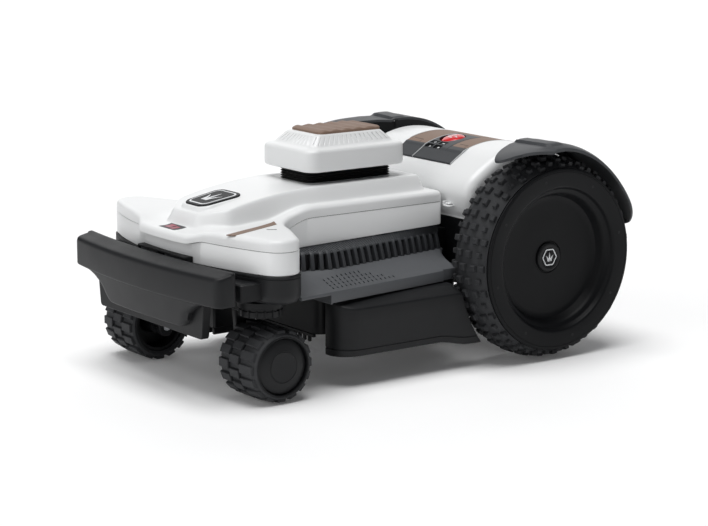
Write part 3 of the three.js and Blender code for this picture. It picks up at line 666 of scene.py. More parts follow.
# ---------------------------------------------------------------- T-shaped body outline
cover_low, cover_high = box_mm("lower_cover")
LOBE_R = 28.7
LOBE_X = cover_high[0] - LOBE_R - 0.1
LOBE_Y = cover_low[1] + 62.8
FRONT_R = 562
FRONT_CENTRE_Y = cover_low[1] + FRONT_R
LOBE_BACK_ANGLE = math.radians(64.8)
STEM_X = 97
STEM_BACK_Y = cover_high[1]
STEM_CORNER_R = 9


def mirror_close(half):
    """The left half of an outline, from its front round to its back, closed with its mirror image."""
    return half + [(-x, y) for x, y in half[::-1] if x > 1e-6]


def body_outline():
    meet = math.atan2(LOBE_Y - FRONT_CENTRE_Y, LOBE_X)
    half = arc(0, FRONT_CENTRE_Y, FRONT_R, -math.pi / 2, meet, 30)
    half += arc(LOBE_X, LOBE_Y, LOBE_R, meet, LOBE_BACK_ANGLE, 18)[1:]
    half += bezier((148.7, -211), (130, -203), (99, -203), (STEM_X, -172), 12)
    r = STEM_CORNER_R
    half += arc(STEM_X - r, STEM_BACK_Y - r, r, 0, math.pi / 2, 6)
    return resample(mirror_close(half), 4)


BODY = body_outline()

LOBE_TOP, STEM_TOP = 229.5, 246
LOBE_SEAM, STEM_SEAM = 213, 230
PLATEAU_NOSE, PLATEAU_TOP = 240, box_mm("upper_cover")[1][2]
PLATEAU_FRONT_Y, PLATEAU_FLAT_Y, PLATEAU_BACK_Y = -292.5, -110, 71
LID_EDGE_R = 7
BEAK_REACH = 10
SEAM_GAP = 0.34
badge_low, badge_high = box_mm("badge")
BADGE_X, BADGE_Y, BADGE_TILT = badge_high[0], (badge_low[1] + badge_high[1]) / 2, math.radians(9.1)
BADGE_HALF_Y, BADGE_RISE = 34, (badge_low[2] + badge_high[2]) / 2 + 1.0
PAD_BORDER = 2.6


def plateau_outline():
    half = [(34, PLATEAU_FRONT_Y), (66, -262), (70, PLATEAU_FLAT_Y), (70, PLATEAU_BACK_Y)]
    return resample(rounded(mirror_close(half), [16, 22, 60, 7, 7, 60, 22, 16], 6), 4)


PLATEAU = plateau_outline()


def beak(x, y):
    """1 in the middle of the front, where the lid's edge comes forward and down, 0 elsewhere."""
    return (1 - smooth_step(57, 88, np.abs(x))) * (1 - smooth_step(-322, -290, y))


def seam_height(x, y):
    rise = smooth_step(-207.5, -142.5, y)
    return LOBE_SEAM + (STEM_SEAM - LOBE_SEAM) * rise - 5 * beak(x, y)


def plateau_height(y):
    t = np.clip((y - PLATEAU_FRONT_Y) / (PLATEAU_FLAT_Y - PLATEAU_FRONT_Y), 0, 1)
    return PLATEAU_NOSE + (PLATEAU_TOP - PLATEAU_NOSE) * (1 - (1 - t) ** 1.9)


def badge_plane(y):
    """Height of the badge's sloping face at y."""
    return BADGE_RISE + (y - BADGE_Y) * math.tan(BADGE_TILT)


def badge_pad():
    """Plan of the flat pad on which the badge lies."""
    half_y = BADGE_HALF_Y + 2.4
    return [(x, y + BADGE_Y) for x, y in rectangle(BADGE_X + PAD_BORDER, -half_y, half_y, 16, 8)]


BADGE_PAD = badge_pad()


def lid_height(points):
    """Height of the lid's top face, before its rounded edge."""
    p = np.array(points, float)
    x, y = p[:, 0], p[:, 1]
    z = LOBE_TOP + (STEM_TOP - LOBE_TOP) * smooth_step(-215, -138, y) - 5.5 * beak(x, y - 8)
    z -= 3.5 * (1 - smooth_step(70, 120, np.abs(x))) * (1 - smooth_step(-262, -215, y))
    climb = 1 - smooth_step(-4, 9, signed_distance(p, PLATEAU))
    z = z + (plateau_height(y) - z) * climb
    pad = 1 - smooth_step(-1.2, 2.4, signed_distance(p, BADGE_PAD))
    return z + np.maximum(badge_plane(y) - 2.2 - z, 0) * pad


def lid():
    """The upper cover: a height field over the outline, closed by its walls and its underside."""
    edge = [(x, y - BEAK_REACH * float(beak(x, y))) for x, y in BODY]
    hole = resample(rectangle(36, -104.5, 33.5, 12), 5)
    rings = [inset(edge, d) for d in (0, 0.5, 1.2, 2.2, 3.6, 5.4, 7.2)]
    rings += [inset(PLATEAU, -d) for d in (-5.5, -4, -2.5, -1, 0.5, 2, 3.5, 5, 6.5, 8, 9.5)]
    rings += [resample(inset(BADGE_PAD, d), 4) for d in (-2.6, -1.6, -0.6, 0.4, 1.4)]
    rings.append(hole)
    grid = [(x, y) for x in np.arange(-212, 213, 8) for y in np.arange(-332, 92, 8)]
    from_edge, from_plateau = signed_distance(grid, edge), signed_distance(grid, PLATEAU)
    from_hole = signed_distance(grid, hole)
    from_pad = signed_distance(grid, BADGE_PAD)
    keep = (from_edge < -11) & (np.abs(from_plateau - 2) > 10) & (from_hole > 4) & (np.abs(from_pad) > 5)
    points = [p for ring in rings for p in ring] + [g for g, k in zip(grid, keep) if k]
    links, start = [], 0
    for ring in rings:
        links += [(start + i, start + (i + 1) % len(ring)) for i in range(len(ring))]
        start += len(ring)
    flat, _, cells, *_ = delaunay_2d_cdt([Vector(p) for p in points], links, [], 0, 1e-4)
    flat = np.array([tuple(v) for v in flat])
    middles = np.array([flat[list(c)].mean(0) for c in cells])
    good = (signed_distance(middles, edge) < 0) & (signed_distance(middles, hole) > 0)
    cells = [list(c) for c, g in zip(cells, good) if g]
    depth = np.clip(-signed_distance(flat, edge), 0, LID_EDGE_R)
    height = lid_height(flat)
    top = height - LID_EDGE_R + np.sqrt(np.maximum(LID_EDGE_R ** 2 - (LID_EDGE_R - depth) ** 2, 0))
    rim = -signed_distance(flat, BODY) < 3.2
    low = np.where(rim, seam_height(flat[:, 0], flat[:, 1]) + SEAM_GAP, height - 3.5)
    count = len(flat)
    verts = [(*p, z) for p, z in zip(flat, top)] + [(*p, z) for p, z in zip(flat, low)]
    faces = cells + [[i + count for i in c[::-1]] for c in cells]
    sides = {}
    for c in cells:
        for a, b in zip(c, c[1:] + c[:1]):
            sides[(a, b)] = sides.get((a, b), 0) + 1
    faces += [[b, a, a + count, b + count] for a, b in sides if (b, a) not in sides]
    used = sorted({i for f in faces for i in f})
    new = {old: i for i, old in enumerate(used)}
    return [verts[i] for i in used], [[new[i] for i in f] for f in faces]


piece("lid", *lid(), WHITE, "chassis", ["upper_cover"], sharp=50)


def cover_low_edge(y):
    """Height of the lower cover's bottom edge."""
    return 181 + 8 * smooth_step(-222, -190, y) + 7.5 * np.clip((y + 178) / 270, 0, 1)


def cover_section(x, y):
    low, high = float(cover_low_edge(y)), float(seam_height(x, y)) - SEAM_GAP
    return [
        (0.7, low), (0, low + 0.7), (0, high - 0.6), (0.5, high), (3, high), (3, low),
    ]


def gasket_section(x, y):
    seam = float(seam_height(x, y))
    return [(1.1, seam - 1.2), (1.1, seam + 1.2), (2.8, seam + 1.2), (2.8, seam - 1.2)]


piece("cover_shell", *band(BODY, cover_section), WHITE, "chassis", ["lower_cover"], sharp=40)
piece("cover_gasket", *band(BODY, gasket_section), BLACK, "chassis")

# ---------------------------------------------------------------- chassis tray under the lobes
TRAY_LOW, TRAY_HIGH = box_mm("chassis_tray")[0][2], 180.6


def tray():
    outline = [p for p in inset(BODY, -2) if p[1] < -196]
    front = [p for p in outline if p[0] >= 0]
    back = [p for p in outline if p[0] < 0]
    closed = front + back
    lobes = slab(closed, [
        (TRAY_LOW, 9), (TRAY_LOW + 1.4, 5), (TRAY_LOW + 5, 1.8), (TRAY_LOW + 9, 0.4), (TRAY_LOW + 13, 0),
        (TRAY_HIGH - 5.2, 0), (TRAY_HIGH - 4.7, 0.8), (TRAY_HIGH - 4.2, 0.8), (TRAY_HIGH - 3.7, 0),
        (TRAY_HIGH - 0.9, 0), (TRAY_HIGH - 0.2, 0.7), (TRAY_HIGH, 2.5),
    ])
    spine = block((-72, 72), (-215, STEM_BACK_Y - 1), (161, 188), 2)
    return join(lobes, spine)


piece("tray", *tray(), CHARCOAL, "chassis", ["chassis_tray"], sharp=45)


# ---------------------------------------------------------------- draped labels and marks on the lid
def draped(corners, lift=0.35, sink=0.8, steps=(14, 6)):
    """A thin plate with four corners in plan, bent to lie on the lid."""
    a, b, c, d = (np.array(p, float) for p in corners)
    flat = []
    for v in np.linspace(0, 1, steps[1] + 1):
        for u in np.linspace(0, 1, steps[0] + 1):
            flat.append((1 - u) * (1 - v) * a + u * (1 - v) * b + u * v * c + (1 - u) * v * d)
    height = lid_height(flat)
    wide, count = steps[0] + 1, len(flat)
    verts = [(*p, z + lift) for p, z in zip(flat, height)] + [(*p, z - sink) for p, z in zip(flat, height)]
    faces = []
    for j in range(steps[1]):
        for i in range(steps[0]):
            q = j * wide + i
            cell = [q, q + 1, q + wide + 1, q + wide]
            faces += [cell, [k + count for k in cell[::-1]]]
    rim = list(range(wide)) + [j * wide + steps[0] for j in range(1, steps[1] + 1)]
    rim += [steps[1] * wide + i for i in range(steps[0] - 1, -1, -1)]
    rim += [j * wide for j in range(steps[1] - 1, 0, -1)]
    for i, q in enumerate(rim):
        r = rim[(i + 1) % len(rim)]
        faces.append([r, q, q + count, r + count])
    return verts, faces


window_low, window_high = box_mm("status_window")
WINDOW_X, WINDOW_FRONT, WINDOW_BACK = window_high[0], window_low[1], window_high[1]


def window_part(x0, x1, y0, y1, lift):
    return draped([(x0, y0), (x1, y0), (x1, y1), (x0, y1)], lift)


status_panel = window_part(-WINDOW_X, WINDOW_X, WINDOW_FRONT, WINDOW_BACK, 0.35)
piece("status_panel", *status_panel, GREY, "chassis", ["status_window"])
piece("status_light", *join(
    window_part(-WINDOW_X + 6, -1, WINDOW_FRONT + 5, WINDOW_BACK - 2.5, 0.6),
    window_part(3, WINDOW_X - 7, WINDOW_FRONT + 2.5, WINDOW_BACK - 5, 0.6),
), SIGNAL_RED, "chassis")
STRIP_CORNERS = [(134, -309), (145, -302), (109, -210), (92, -203)]
SLOT_CORNERS = [(131.1, -241.6), (133.1, -243), (141.3, -231.6), (139.3, -230.2)]
piece("side_strip", *draped(STRIP_CORNERS, 0.35, steps=(3, 16)), BROWN, "chassis")
piece("lid_slot", *draped(SLOT_CORNERS, 0.2), BLACK, "chassis")


BADGE_TAPER = 5.0


def on_badge(x, y, z):
    """A point of a flat shape, moved to the badge's sloping face."""
    return x, y + BADGE_Y, float(badge_plane(y + BADGE_Y)) + z


def narrowed(x, y, z):
    """The same, drawn in towards the middle at the front."""
    return on_badge(x * (1 - BADGE_TAPER / BADGE_X * (0.5 - 0.5 * y / BADGE_HALF_Y) ** 2), y, z)


def badge_ring(shrink, low, high, rim):
    """A rounded plate on the badge's pad, a little narrower towards the front."""
    half = BADGE_HALF_Y - shrink
    outline = rectangle(BADGE_X - shrink, -half, half, max(14 - shrink * 0.8, 3), 8)
    return slab(outline, [(low, 0), (high - rim, 0), (high, rim)], narrowed)


piece("badge_plate", *badge_ring(0, -2.6, 0, 0.7), CHARCOAL, "chassis", ["badge"])
piece("badge_ring", *badge_ring(5, -1, 0.35, 0.3), LINE_WHITE, "chassis")
piece("badge_middle", *badge_ring(7.6, -1, 0.6, 0.3), CHARCOAL, "chassis")


def grass_blade(lean, tall, foot, foot_y, wide, tip, steps):
    """Plan of a blade of grass that leans over and narrows to its tip."""
    bend = (foot * 1.2, tall * 0.4), (foot + lean * 0.4, tall * 0.7)
    spine = bezier((foot, 0), *bend, (foot + lean, tall), steps)
    half = [wide * (1 - (i / steps) ** 1.6) + tip for i in range(steps + 1)]
    right = [(x + h, foot_y + y) for (x, y), h in zip(spine, half)]
    left = [(x - h, foot_y + y) for (x, y), h in zip(spine, half)]
    return right + left[::-1]


def badge_mark():
    """Three blades of grass."""
    blades = [grass_blade(*blade, -15, 2.7, 0.2, 8) for blade in ((-11, 22, -4), (0, 31, 0), (11, 22, 4))]
    return join(*(slab(outline, [(0, 0), (0.9, 0)], on_badge) for outline in blades))


piece("badge_mark", *badge_mark(), LINE_WHITE, "chassis")

# ---------------------------------------------------------------- contact bridge and bumper
GROOVE_DEEP, GROOVE_HALF = 3.2, 1.6


def contact_bridge():
    """A black bar on the nose with one long groove, in which the contacts lie."""
    (_, front, low), (half, _, high) = box_mm("contact_bridge")
    floor, roof = (low + high) / 2 - GROOVE_HALF, (low + high) / 2 + GROOVE_HALF
    ends = half - np.array([0, 0.6, 2, 4, 6, 7])
    rings = []
    for x in [*-ends, *np.linspace(-50, 50, 9), *ends[::-1]]:
        back = FRONT_CENTRE_Y - math.sqrt(FRONT_R ** 2 - x * x) - 0.2
        f = front + corner_pull(x, 5, half)
        deep = f + GROOVE_DEEP * (1 - smooth_step(half - 8, half - 6, abs(x))) + 0.05
        rings.append([(x, y, z) for y, z in (
            (back, low + 0.4), (f + 1.4, low + 0.4), (f + 0.4, low + 0.9), (f, low + 1.6), (f, floor),
            (deep, floor), (deep, roof), (f, roof), (f, high - 1.2), (f + 0.5, high - 0.4), (f + 1.5, high),
            (back, high),
        )])
    return loft(rings)


piece("contact_bar", *contact_bridge(), BLACK, "chassis", ["contact_bridge"])

bumper_low, bumper_high = box_mm("bumper")
NOSE_Y, BUMPER_X = bumper_low[1], bumper_high[0]
BAR_LOW, BAR_HIGH = 143, bumper_high[2]
BUMPER_R, BUMPER_BACK_R, BUMPER_DEPTH, BUMPER_END_R = 1190, 1500, 33, 11


def bumper_front(x):
    return NOSE_Y + BUMPER_R - math.sqrt(BUMPER_R ** 2 - x * x)


def bumper_bar():
    """A curved bar; in its section, y below 20 counts from the front and y above it from the back, at 40."""
    ends = [BUMPER_X - BUMPER_END_R * (1 - math.sin(a)) for a in np.linspace(math.pi / 2, 0, 9)]
    rings = []
    for x in [-end for end in ends] + [*np.linspace(-178, 178, 41)] + ends[::-1]:
        front = bumper_front(x) + corner_pull(x, BUMPER_END_R, BUMPER_X)
        back = NOSE_Y + BUMPER_DEPTH + x * x / (2 * BUMPER_BACK_R) - corner_pull(x, 5, BUMPER_X)
        low, high = BAR_LOW + corner_pull(x, 3, BUMPER_X), BAR_HIGH - corner_pull(x, 3.5, BUMPER_X)
        s = min(1, (back - front) / 26)
        rings.append([(x, front + s * y if y < 20 else back - s * (40 - y), z) for y, z in (
            (4.5, low), (1.8, low + 0.5), (0.5, low + 1.6), (0, low + 3.6), (0, high - 13),
            (0.3, high - 10.2),
            (1.2, high - 8), (2.8, high - 6.4), (5.0, high - 5.4), (8, high - 4.7), (14, high - 3.4),
            (19, high - 2.3), (34, high - 0.6), (37.6, high - 0.1), (39.3, high - 0.8), (40, high - 3),
            (40, low + 3), (39, low + 0.8), (37, low),
        )])
    return loft(rings)


# heights on the chin and its half widths there
CHIN_WIDTHS = [
    (102, 86), (102.6, 94), (104.5, 100), (108, 105.5), (114, 110.5), (120, 114), (126, 118), (131, 124),
    (135, 131), (138.5, 138.5), (141.5, 150), (144.4, 168),
]


def bumper_chin():
    """The lower lip of the bumper, swept like the bar and sloping back."""
    rings = []
    for z, half in smooth_line(CHIN_WIDTHS, 4):
        fall = max(0, 105 - z)
        front, back = [], []
        for x in np.linspace(-1, 1, 33) * half:
            y = bumper_front(x) + 3.0 + 0.25 * (BAR_LOW - min(z, BAR_LOW)) + 0.5 * corner_pull(x, 7, half)
            front.append((x, y + 0.25 * fall * fall, z))
            back.append((x, y + 15 - 0.4 * fall * fall, z))
        rings.append(front + back[::-1])
    return loft(rings)


piece("bumper_bar", *bumper_bar(), CHARCOAL, "bumper", ["bumper"], sharp=40)
piece("bumper_chin", *bumper_chin(), CHARCOAL, "bumper", sharp=50)


def bumper_keel():
    """The flat stiffener behind the chin, a little deeper and wider than it."""
    outline = rounded([(-137, 90), (137, 90), (144, BAR_LOW + 2), (-144, BAR_LOW + 2)], [6, 6, 1, 1], 4)
    rings = []
    for y, d in ((NOSE_Y + 25, 0.8), (NOSE_Y + 25.8, 0), (NOSE_Y + 36.2, 0), (NOSE_Y + 37, 0.8)):
        rings.append([(x, y, z) for x, z in inset(outline, d)])
    return loft(rings)


piece("bumper_keel", *bumper_keel(), BLACK, "bumper")


def bumper_mounts():
    """Boxes on the tray behind the bumper's ends, and the ribs beside them."""
    box, ribs = (150, 192, -324, 146, 171), ((100, 108, -328, 150, 176), (132, 138, -327, 150, 176))
    parts = []
    for side in (-1, 1):
        for x0, x1, y0, z0, z1 in (box, *ribs):
            parts.append(block(sorted((side * x0, side * x1)), (y0, -286), (z0, z1), 1.5))
    return join(*parts)


piece("bumper_mounts", *bumper_mounts(), BLACK, "chassis")

# ---------------------------------------------------------------- cutting deck
deck_low, deck_high = box_mm("deck_housing")
VENT_LINE = smooth_line([
    (118, -178), (126, -157), (133, -128.5), (125, -67.5), (116, -14.5), (107, 43.5), (98, 91),
])
FLANGE_HIGH, FLANGE_LOW, STEP_LOW = deck_high[2] + 0.5, 141, 124.5
STEP_FRONT_Y, STEP_BACK_Y = deck_low[1], 77.5
FLANGE_FRONT_Y, WHEEL_ROOM_Y, FLANGE_BACK_Y = -222, 50, 91
TUB_X, TUB_FRONT_Y, TUB_LOW, TUB_HIGH = 133, -157.5, deck_low[2], 138


def vent_x(y):
    return read_off(VENT_LINE, y, along=1)


def step_x(y):
    x = deck_high[0] - 30 * (y - STEP_FRONT_Y) / 245
    if y > WHEEL_ROOM_Y:
        x = min(x, TYRE_IN_X - 0.8 - 60 * max(0, y - STEP_BACK_Y) / 15)
    return x


def flange_height(x, y):
    t = np.clip((step_x(y) - x) / (step_x(y) - vent_x(y)), 0, 1)
    return FLANGE_LOW + (FLANGE_HIGH - FLANGE_LOW) * (0.86 * t + 0.14 * t ** 4)


def flange():
    """The deck's sloping edge, its rolled rim and the step below it."""
    rings = []
    low, high = FLANGE_LOW, FLANGE_HIGH
    ys = [*np.linspace(FLANGE_FRONT_Y, STEP_FRONT_Y - 2, 8), STEP_FRONT_Y - 0.1]
    ys += [*np.linspace(STEP_FRONT_Y, WHEEL_ROOM_Y, 24), WHEEL_ROOM_Y + 0.1]
    ys += [*np.linspace(WHEEL_ROOM_Y + 5, STEP_BACK_Y, 4), STEP_BACK_Y + 7, FLANGE_BACK_Y]
    for y in ys:
        x, inner = step_x(y), vent_x(y) - 5
        foot = STEP_LOW if y >= STEP_FRONT_Y else low - 5
        across = [x + (inner + 5 - x) * t for t in (0.12, 0.3, 0.5, 0.7, 0.85, 0.95, 1.0)]
        ring = [(x - 0.8, foot), (x, foot + 0.8), (x, low - 1.9), (x - 0.5, low - 0.6), (x - 1.9, low)]
        ring += [(u, flange_height(u, y)) for u in across]
        ring += [(inner, high), (inner - 1, high - 4), (x - 7, low - 4), (x - 5, low - 4.4), (x - 4, foot)]
        rings.append([(u, y, z) for u, z in ring])
    front_wall = block((120, 178.5), (STEP_FRONT_Y + 0.4, STEP_FRONT_Y + 4.5), (STEP_LOW - 2, low - 2.5), 1)
    return join(loft(rings), front_wall)


HOLE_FRONT_Y, HOLE_STEP_Y, HOLE_STEP_X, HOLE_R, HOLE_STRETCH = -158, 8.2, 7.5, 1.3, 2.1
HOLES_IN_COLUMN = [4] * 9 + [3] * 2 + [2] * 2 + [1] * 2


def perforations():
    """Cutters for small oval holes, in four rows beside the step."""
    parts = []
    for column, count in enumerate(HOLES_IN_COLUMN):
        y = HOLE_FRONT_Y + HOLE_STEP_Y * column
        for row in range(count):
            x = step_x(y) - 8 - HOLE_STEP_X * row
            z = flange_height(x, y)
            oval = [(x + HOLE_STRETCH * a, y + b) for a, b in arc(0, 0, HOLE_R, 0, TAU * 7 / 8, 7)]
            parts.append(slab(oval, [(z - 7, 0), (z + 3, 0)]))
    return join(*parts)


left_flange, left_holes = flange(), perforations()
carve(piece("deck_flange_left", *left_flange, DECK_GREY, "chassis", ["deck_housing"], sharp=40), left_holes)
right_flange = piece("deck_flange_right", *mirrored(left_flange), DECK_GREY, "chassis", sharp=40)
carve(right_flange, mirrored(left_holes))


def ring_plate(outline, radius, centre, z0, z1):
    """A flat plate between an outline and a round hole."""
    hole = []
    for x, y in outline:
        turn = math.atan2(y - centre[1], x - centre[0])
        hole.append((centre[0] + radius * math.cos(turn), centre[1] + radius * math.sin(turn)))
    section = ((outline, z0), (outline, z1), (hole, z1), (hole, z0))
    return loft([[(x, y, z) for x, y in line] for line, z in section], closed=True)


motor_low, motor_high = box_mm("blade_motor")
HEAD_Y = (motor_low[1] + motor_high[1]) / 2
MOTOR_HOLE_R = motor_high[0] + 5


def deck_tub():
    """The open-bottomed cutting chamber, with a rolled lower rim and a collar round the hole in its roof."""
    outline = resample(rectangle(TUB_X, TUB_FRONT_Y, deck_high[1], 14, 6), 8)
    walls = band(outline, lambda *_: [
        (0, TUB_LOW + 1), (0, TUB_HIGH), (4, TUB_HIGH), (4, TUB_LOW + 1), (3.2, TUB_LOW), (0.8, TUB_LOW),
    ])
    roof = ring_plate(inset(outline, 2), MOTOR_HOLE_R, (0, HEAD_Y), TUB_HIGH + 0.3, TUB_HIGH + 4)
    rim = arc(0, HEAD_Y, MOTOR_HOLE_R + 5, 0, TAU * 47 / 48, 47)
    collar = ring_plate(rim, MOTOR_HOLE_R, (0, HEAD_Y), TUB_HIGH - 4, TUB_HIGH + 0.2)
    return join(walls, roof, collar)


piece("deck_tub", *deck_tub(), CHARCOAL, "chassis", sharp=40)


def comb():
    low, high = box_mm("comb_guard")
    parts = [block((low[0], high[0]), (low[1], high[1]), (high[2] - 5, high[2]), 0.8)]
    for x in np.arange(low[0] + 3, high[0] - 2, 12):
        parts.append(block((x - 3, x + 3), (low[1] + 0.3, high[1] - 0.3), (low[2], high[2] - 4.5), 0.9))
    return join(*parts)


piece("comb_teeth", *comb(), BLACK, "chassis", ["comb_guard"])

# ---------------------------------------------------------------- side skirts
skirt_low, skirt_high = box_mm("side_skirt_left")
SKIRT_TOP, SKIRT_RISE, SKIRT_BOTTOM, SKIRT_CORNER, SKIRT_IN_X = 113, 10, 45, 33, 151
WHEEL_ROOM_R = WHEEL_R + 5


def skirt_bottom(y):
    return SKIRT_BOTTOM - 9.5 * smooth_step(15, 72, y)


def skirt_ring(t, shrink, groove=0.0):
    """Outline of the skirt at t, from 0 at its lower edge to 1 at its ledge, as points in space."""
    x0, x1 = SKIRT_IN_X + shrink, skirt_high[0] - shrink - groove
    front, r = skirt_low[1] + shrink + groove, SKIRT_CORNER - shrink
    nominal = SKIRT_BOTTOM + t * (SKIRT_TOP - SKIRT_BOTTOM)
    back = AXLE_Y - math.sqrt(WHEEL_ROOM_R ** 2 - (AXLE_Z - nominal) ** 2) - shrink
    plan = [(x0, front), *arc(x1 - r, front + r, r, -math.pi / 2, 0, 9)]
    plan += [(x1, y) for y in np.linspace(front + r + 12, back, 15)]
    plan += [(x0 + (x1 - x0) * s, back) for s in (0.66, 0.33, 0)]
    plan += [(x0, y) for y in np.linspace(back, front, 9)[1:-1]]
    ring = []
    for x, y in plan:
        low = skirt_bottom(y)
        ledge = SKIRT_TOP + SKIRT_RISE * np.clip((skirt_high[0] - x) / 24, 0, 1)
        ring.append((x, y, low + t * (ledge - low)))
    return ring


def skirt():
    groove = [(0.125, 0, 0), (0.135, 0, 0.9), (0.145, 0, 0.9), (0.155, 0, 0)]
    rings = [skirt_ring(0.93, 4), skirt_ring(0.0, 4), skirt_ring(0.0, 0.9), skirt_ring(0.015, 0)]
    rings += [skirt_ring(*g) for g in groove]
    rings += [skirt_ring(t, 0) for t in (0.4, 0.7, 0.965)]
    rings += [skirt_ring(0.99, 0.5), skirt_ring(1, 1.6), skirt_ring(1, 8), skirt_ring(1, 16)]
    return loft(rings)


both_sides("skirt_panel", skirt(), CHARCOAL, "chassis", ["side_skirt_{}"], sharp=40)

# ---------------------------------------------------------------- vent grilles
VENT_RIBS = 21
RIB_WIDE, RIB_DEEP, RIB_LOW, RIB_HIGH, RIB_LEAN = 5.6, 15, 160.6, 184.5, 7
ROOF_IN_X = 94


def frame_at(line, i):
    """A point of a curve, its direction, and the direction outwards, to its right."""
    before, after = np.array(line[max(i - 1, 0)]), np.array(line[min(i + 1, len(line) - 1)])
    along = (after - before) / np.linalg.norm(after - before)
    return np.array(line[i]), along, np.array([along[1], -along[0]])


def bar_between(section, place, along, out, half_wide):
    """A bar with a side view of (outwards, z) points, half_wide to each side along a curve."""
    rings = []
    for w, trim in ((-half_wide, 0.35), (-half_wide + 0.6, 0), (half_wide - 0.6, 0), (half_wide, 0.35)):
        ring = []
        for d, z in section:
            x, y = place + along * w + out * (d - trim if d > -RIB_DEEP + 0.1 else d)
            ring.append((x, y, z))
        rings.append(ring)
    return loft(rings)


def roof_span(place, out, gap):
    """The outer and inner ends of the roof over a place, as (x, y, z)."""
    x, y = place - out * (RIB_LEAN + gap)
    top = float(cover_low_edge(place[1])) + 0.3
    return (x, y, RIB_HIGH - 0.6), (min(ROOF_IN_X, place[0] - 13), y, top - 0.7)


def vent():
    """Leaning ribs, the roof over them, and low ridges across the roof."""
    line = even(VENT_LINE, 2 * VENT_RIBS)
    section = [
        (-RIB_DEEP, RIB_LOW), (-0.2, RIB_LOW), (0, RIB_LOW + 0.6), (-RIB_LEAN + 1.4, RIB_HIGH - 5),
        (-RIB_LEAN, RIB_HIGH - 2), (-RIB_LEAN - 1.4, RIB_HIGH - 0.4), (-RIB_LEAN - 3, RIB_HIGH + 0.6),
        (-RIB_DEEP, RIB_HIGH + 1.6),
    ]
    parts = [bar_between(section, *frame_at(line, 2 * i + 1), RIB_WIDE / 2) for i in range(VENT_RIBS)]
    roof = []
    for i in range(len(line)):
        place, _, out = frame_at(line, i)
        (x, y, z), (inner, _, top) = roof_span(place, out, 2.2)
        roof.append([(x, y, z - 1.8), (x, y, z), (inner, y, top), (inner, y, top - 2.3)])
    parts.append(loft(roof))
    ridges = even(VENT_LINE, 3 * VENT_RIBS)
    for i in range(1, len(ridges)):
        place, _, out = frame_at(ridges, i)
        parts.append(loft([
            [(x, y + side, z + up) for side, up in ((-1.15, -0.6), (1.15, -0.6), (0.5, 0.75), (-0.5, 0.75))]
            for x, y, z in roof_span(place, out, 2.4)
        ]))
    return join(*parts)


def vent_back():
    """A wall behind the ribs, coloured black as painted shade for the gaps seen between them."""
    line = even(VENT_LINE, 30)
    rings = []
    for i in range(len(line)):
        place, _, out = frame_at(line, i)
        near, far = place - out * (RIB_DEEP - 0.3), place - out * (RIB_DEEP + 2)
        rings.append([(*near, RIB_LOW - 0.5), (*near, RIB_HIGH), (*far, RIB_HIGH), (*far, RIB_LOW - 0.5)])
    return loft(rings)


both_sides("vent_ribs", vent(), SLATE, "chassis", ["vent_grille_{}"], sharp=40)
# the black of this wall is painted shade in the gaps between the ribs
both_sides("vent_painted_shade", vent_back(), BLACK, "chassis")

# ---------------------------------------------------------------- cutting head: cap, pad and bellows
cap_low, cap_high = box_mm("head_cap")
CAP_X, CAP_FRONT, CAP_BACK = cap_high[0], cap_low[1], cap_high[1]
CAP_LOW, CAP_TOP = cap_low[2], cap_high[2]
CAP_CORNER = 19
RING_POINTS, STEPS_PER_GROOVE = 480, 9


def cap_ring(z, inset_x, inset_y, groove=0.0):
    """A rounded rectangle at z with a set number of points; groove cuts every so many points inwards."""
    half, front, back = CAP_X - inset_x, CAP_FRONT + inset_y, CAP_BACK - inset_y
    corners = rectangle(half, front, back, max(CAP_CORNER - inset_x * 0.42, 4), 8)
    outline = even([*corners, corners[0]], RING_POINTS)[:-1]
    ring = []
    for i, (plain, deep) in enumerate(zip(outline, inset(outline, groove))):
        ring.append((*(deep if i % STEPS_PER_GROOVE == 1 else plain), z))
    return ring


# height above the cap's foot, and how far the ring is in from the sides and from the ends
CAP_RINGS = [
    (28, 8, 8), (1.2, 4.2, 4.2), (0, 3.6, 3.6), (0.1, 2.4, 2.4), (1.0, 0.9, 0.9), (2.8, 0.15, 0.15),
    (4.5, 0, 0),
    (26, 0, 0), (28.5, 0.35, 0.35), (30.6, 1.4, 1.4), (32, 3.2, 3.2), (32.7, 5.5, 5.5), (33.6, 9, 10),
    (34.6, 11, 12.4), (35.6, 12.2, 13.8),
]


def head_cap():
    """A hollow cap: up inside it, out round its foot, up its wall and in over its grooved shoulder."""
    rings = [cap_ring(CAP_TOP - 6, 34, 40)]
    rings += [cap_ring(CAP_LOW + up, in_x, in_y) for up, in_x, in_y in CAP_RINGS]
    for t in (0, 0.08, 0.5, 0.92, 1.0):
        depth = 1.8 if 0 < t < 1 else 0
        rings.append(cap_ring(CAP_LOW + 36.2 + 11.6 * t, 12.8 + 9.2 * t, 14.6 + 12.6 * t, depth))
    rings += [cap_ring(CAP_LOW + 49.2, 23.4, 28.8)]
    rings += [cap_ring(CAP_TOP - 0.7, 25.2, 31), cap_ring(CAP_TOP - 0.6, 31, 37)]
    return loft(rings)


piece("cap_shell", *head_cap(), WHITE, "cutting_head", ["head_cap"], sharp=38)

pad_low, pad_high = box_mm("head_pad")
PAD_WAVES, WAVE_DEEP = 5.5, 2.3


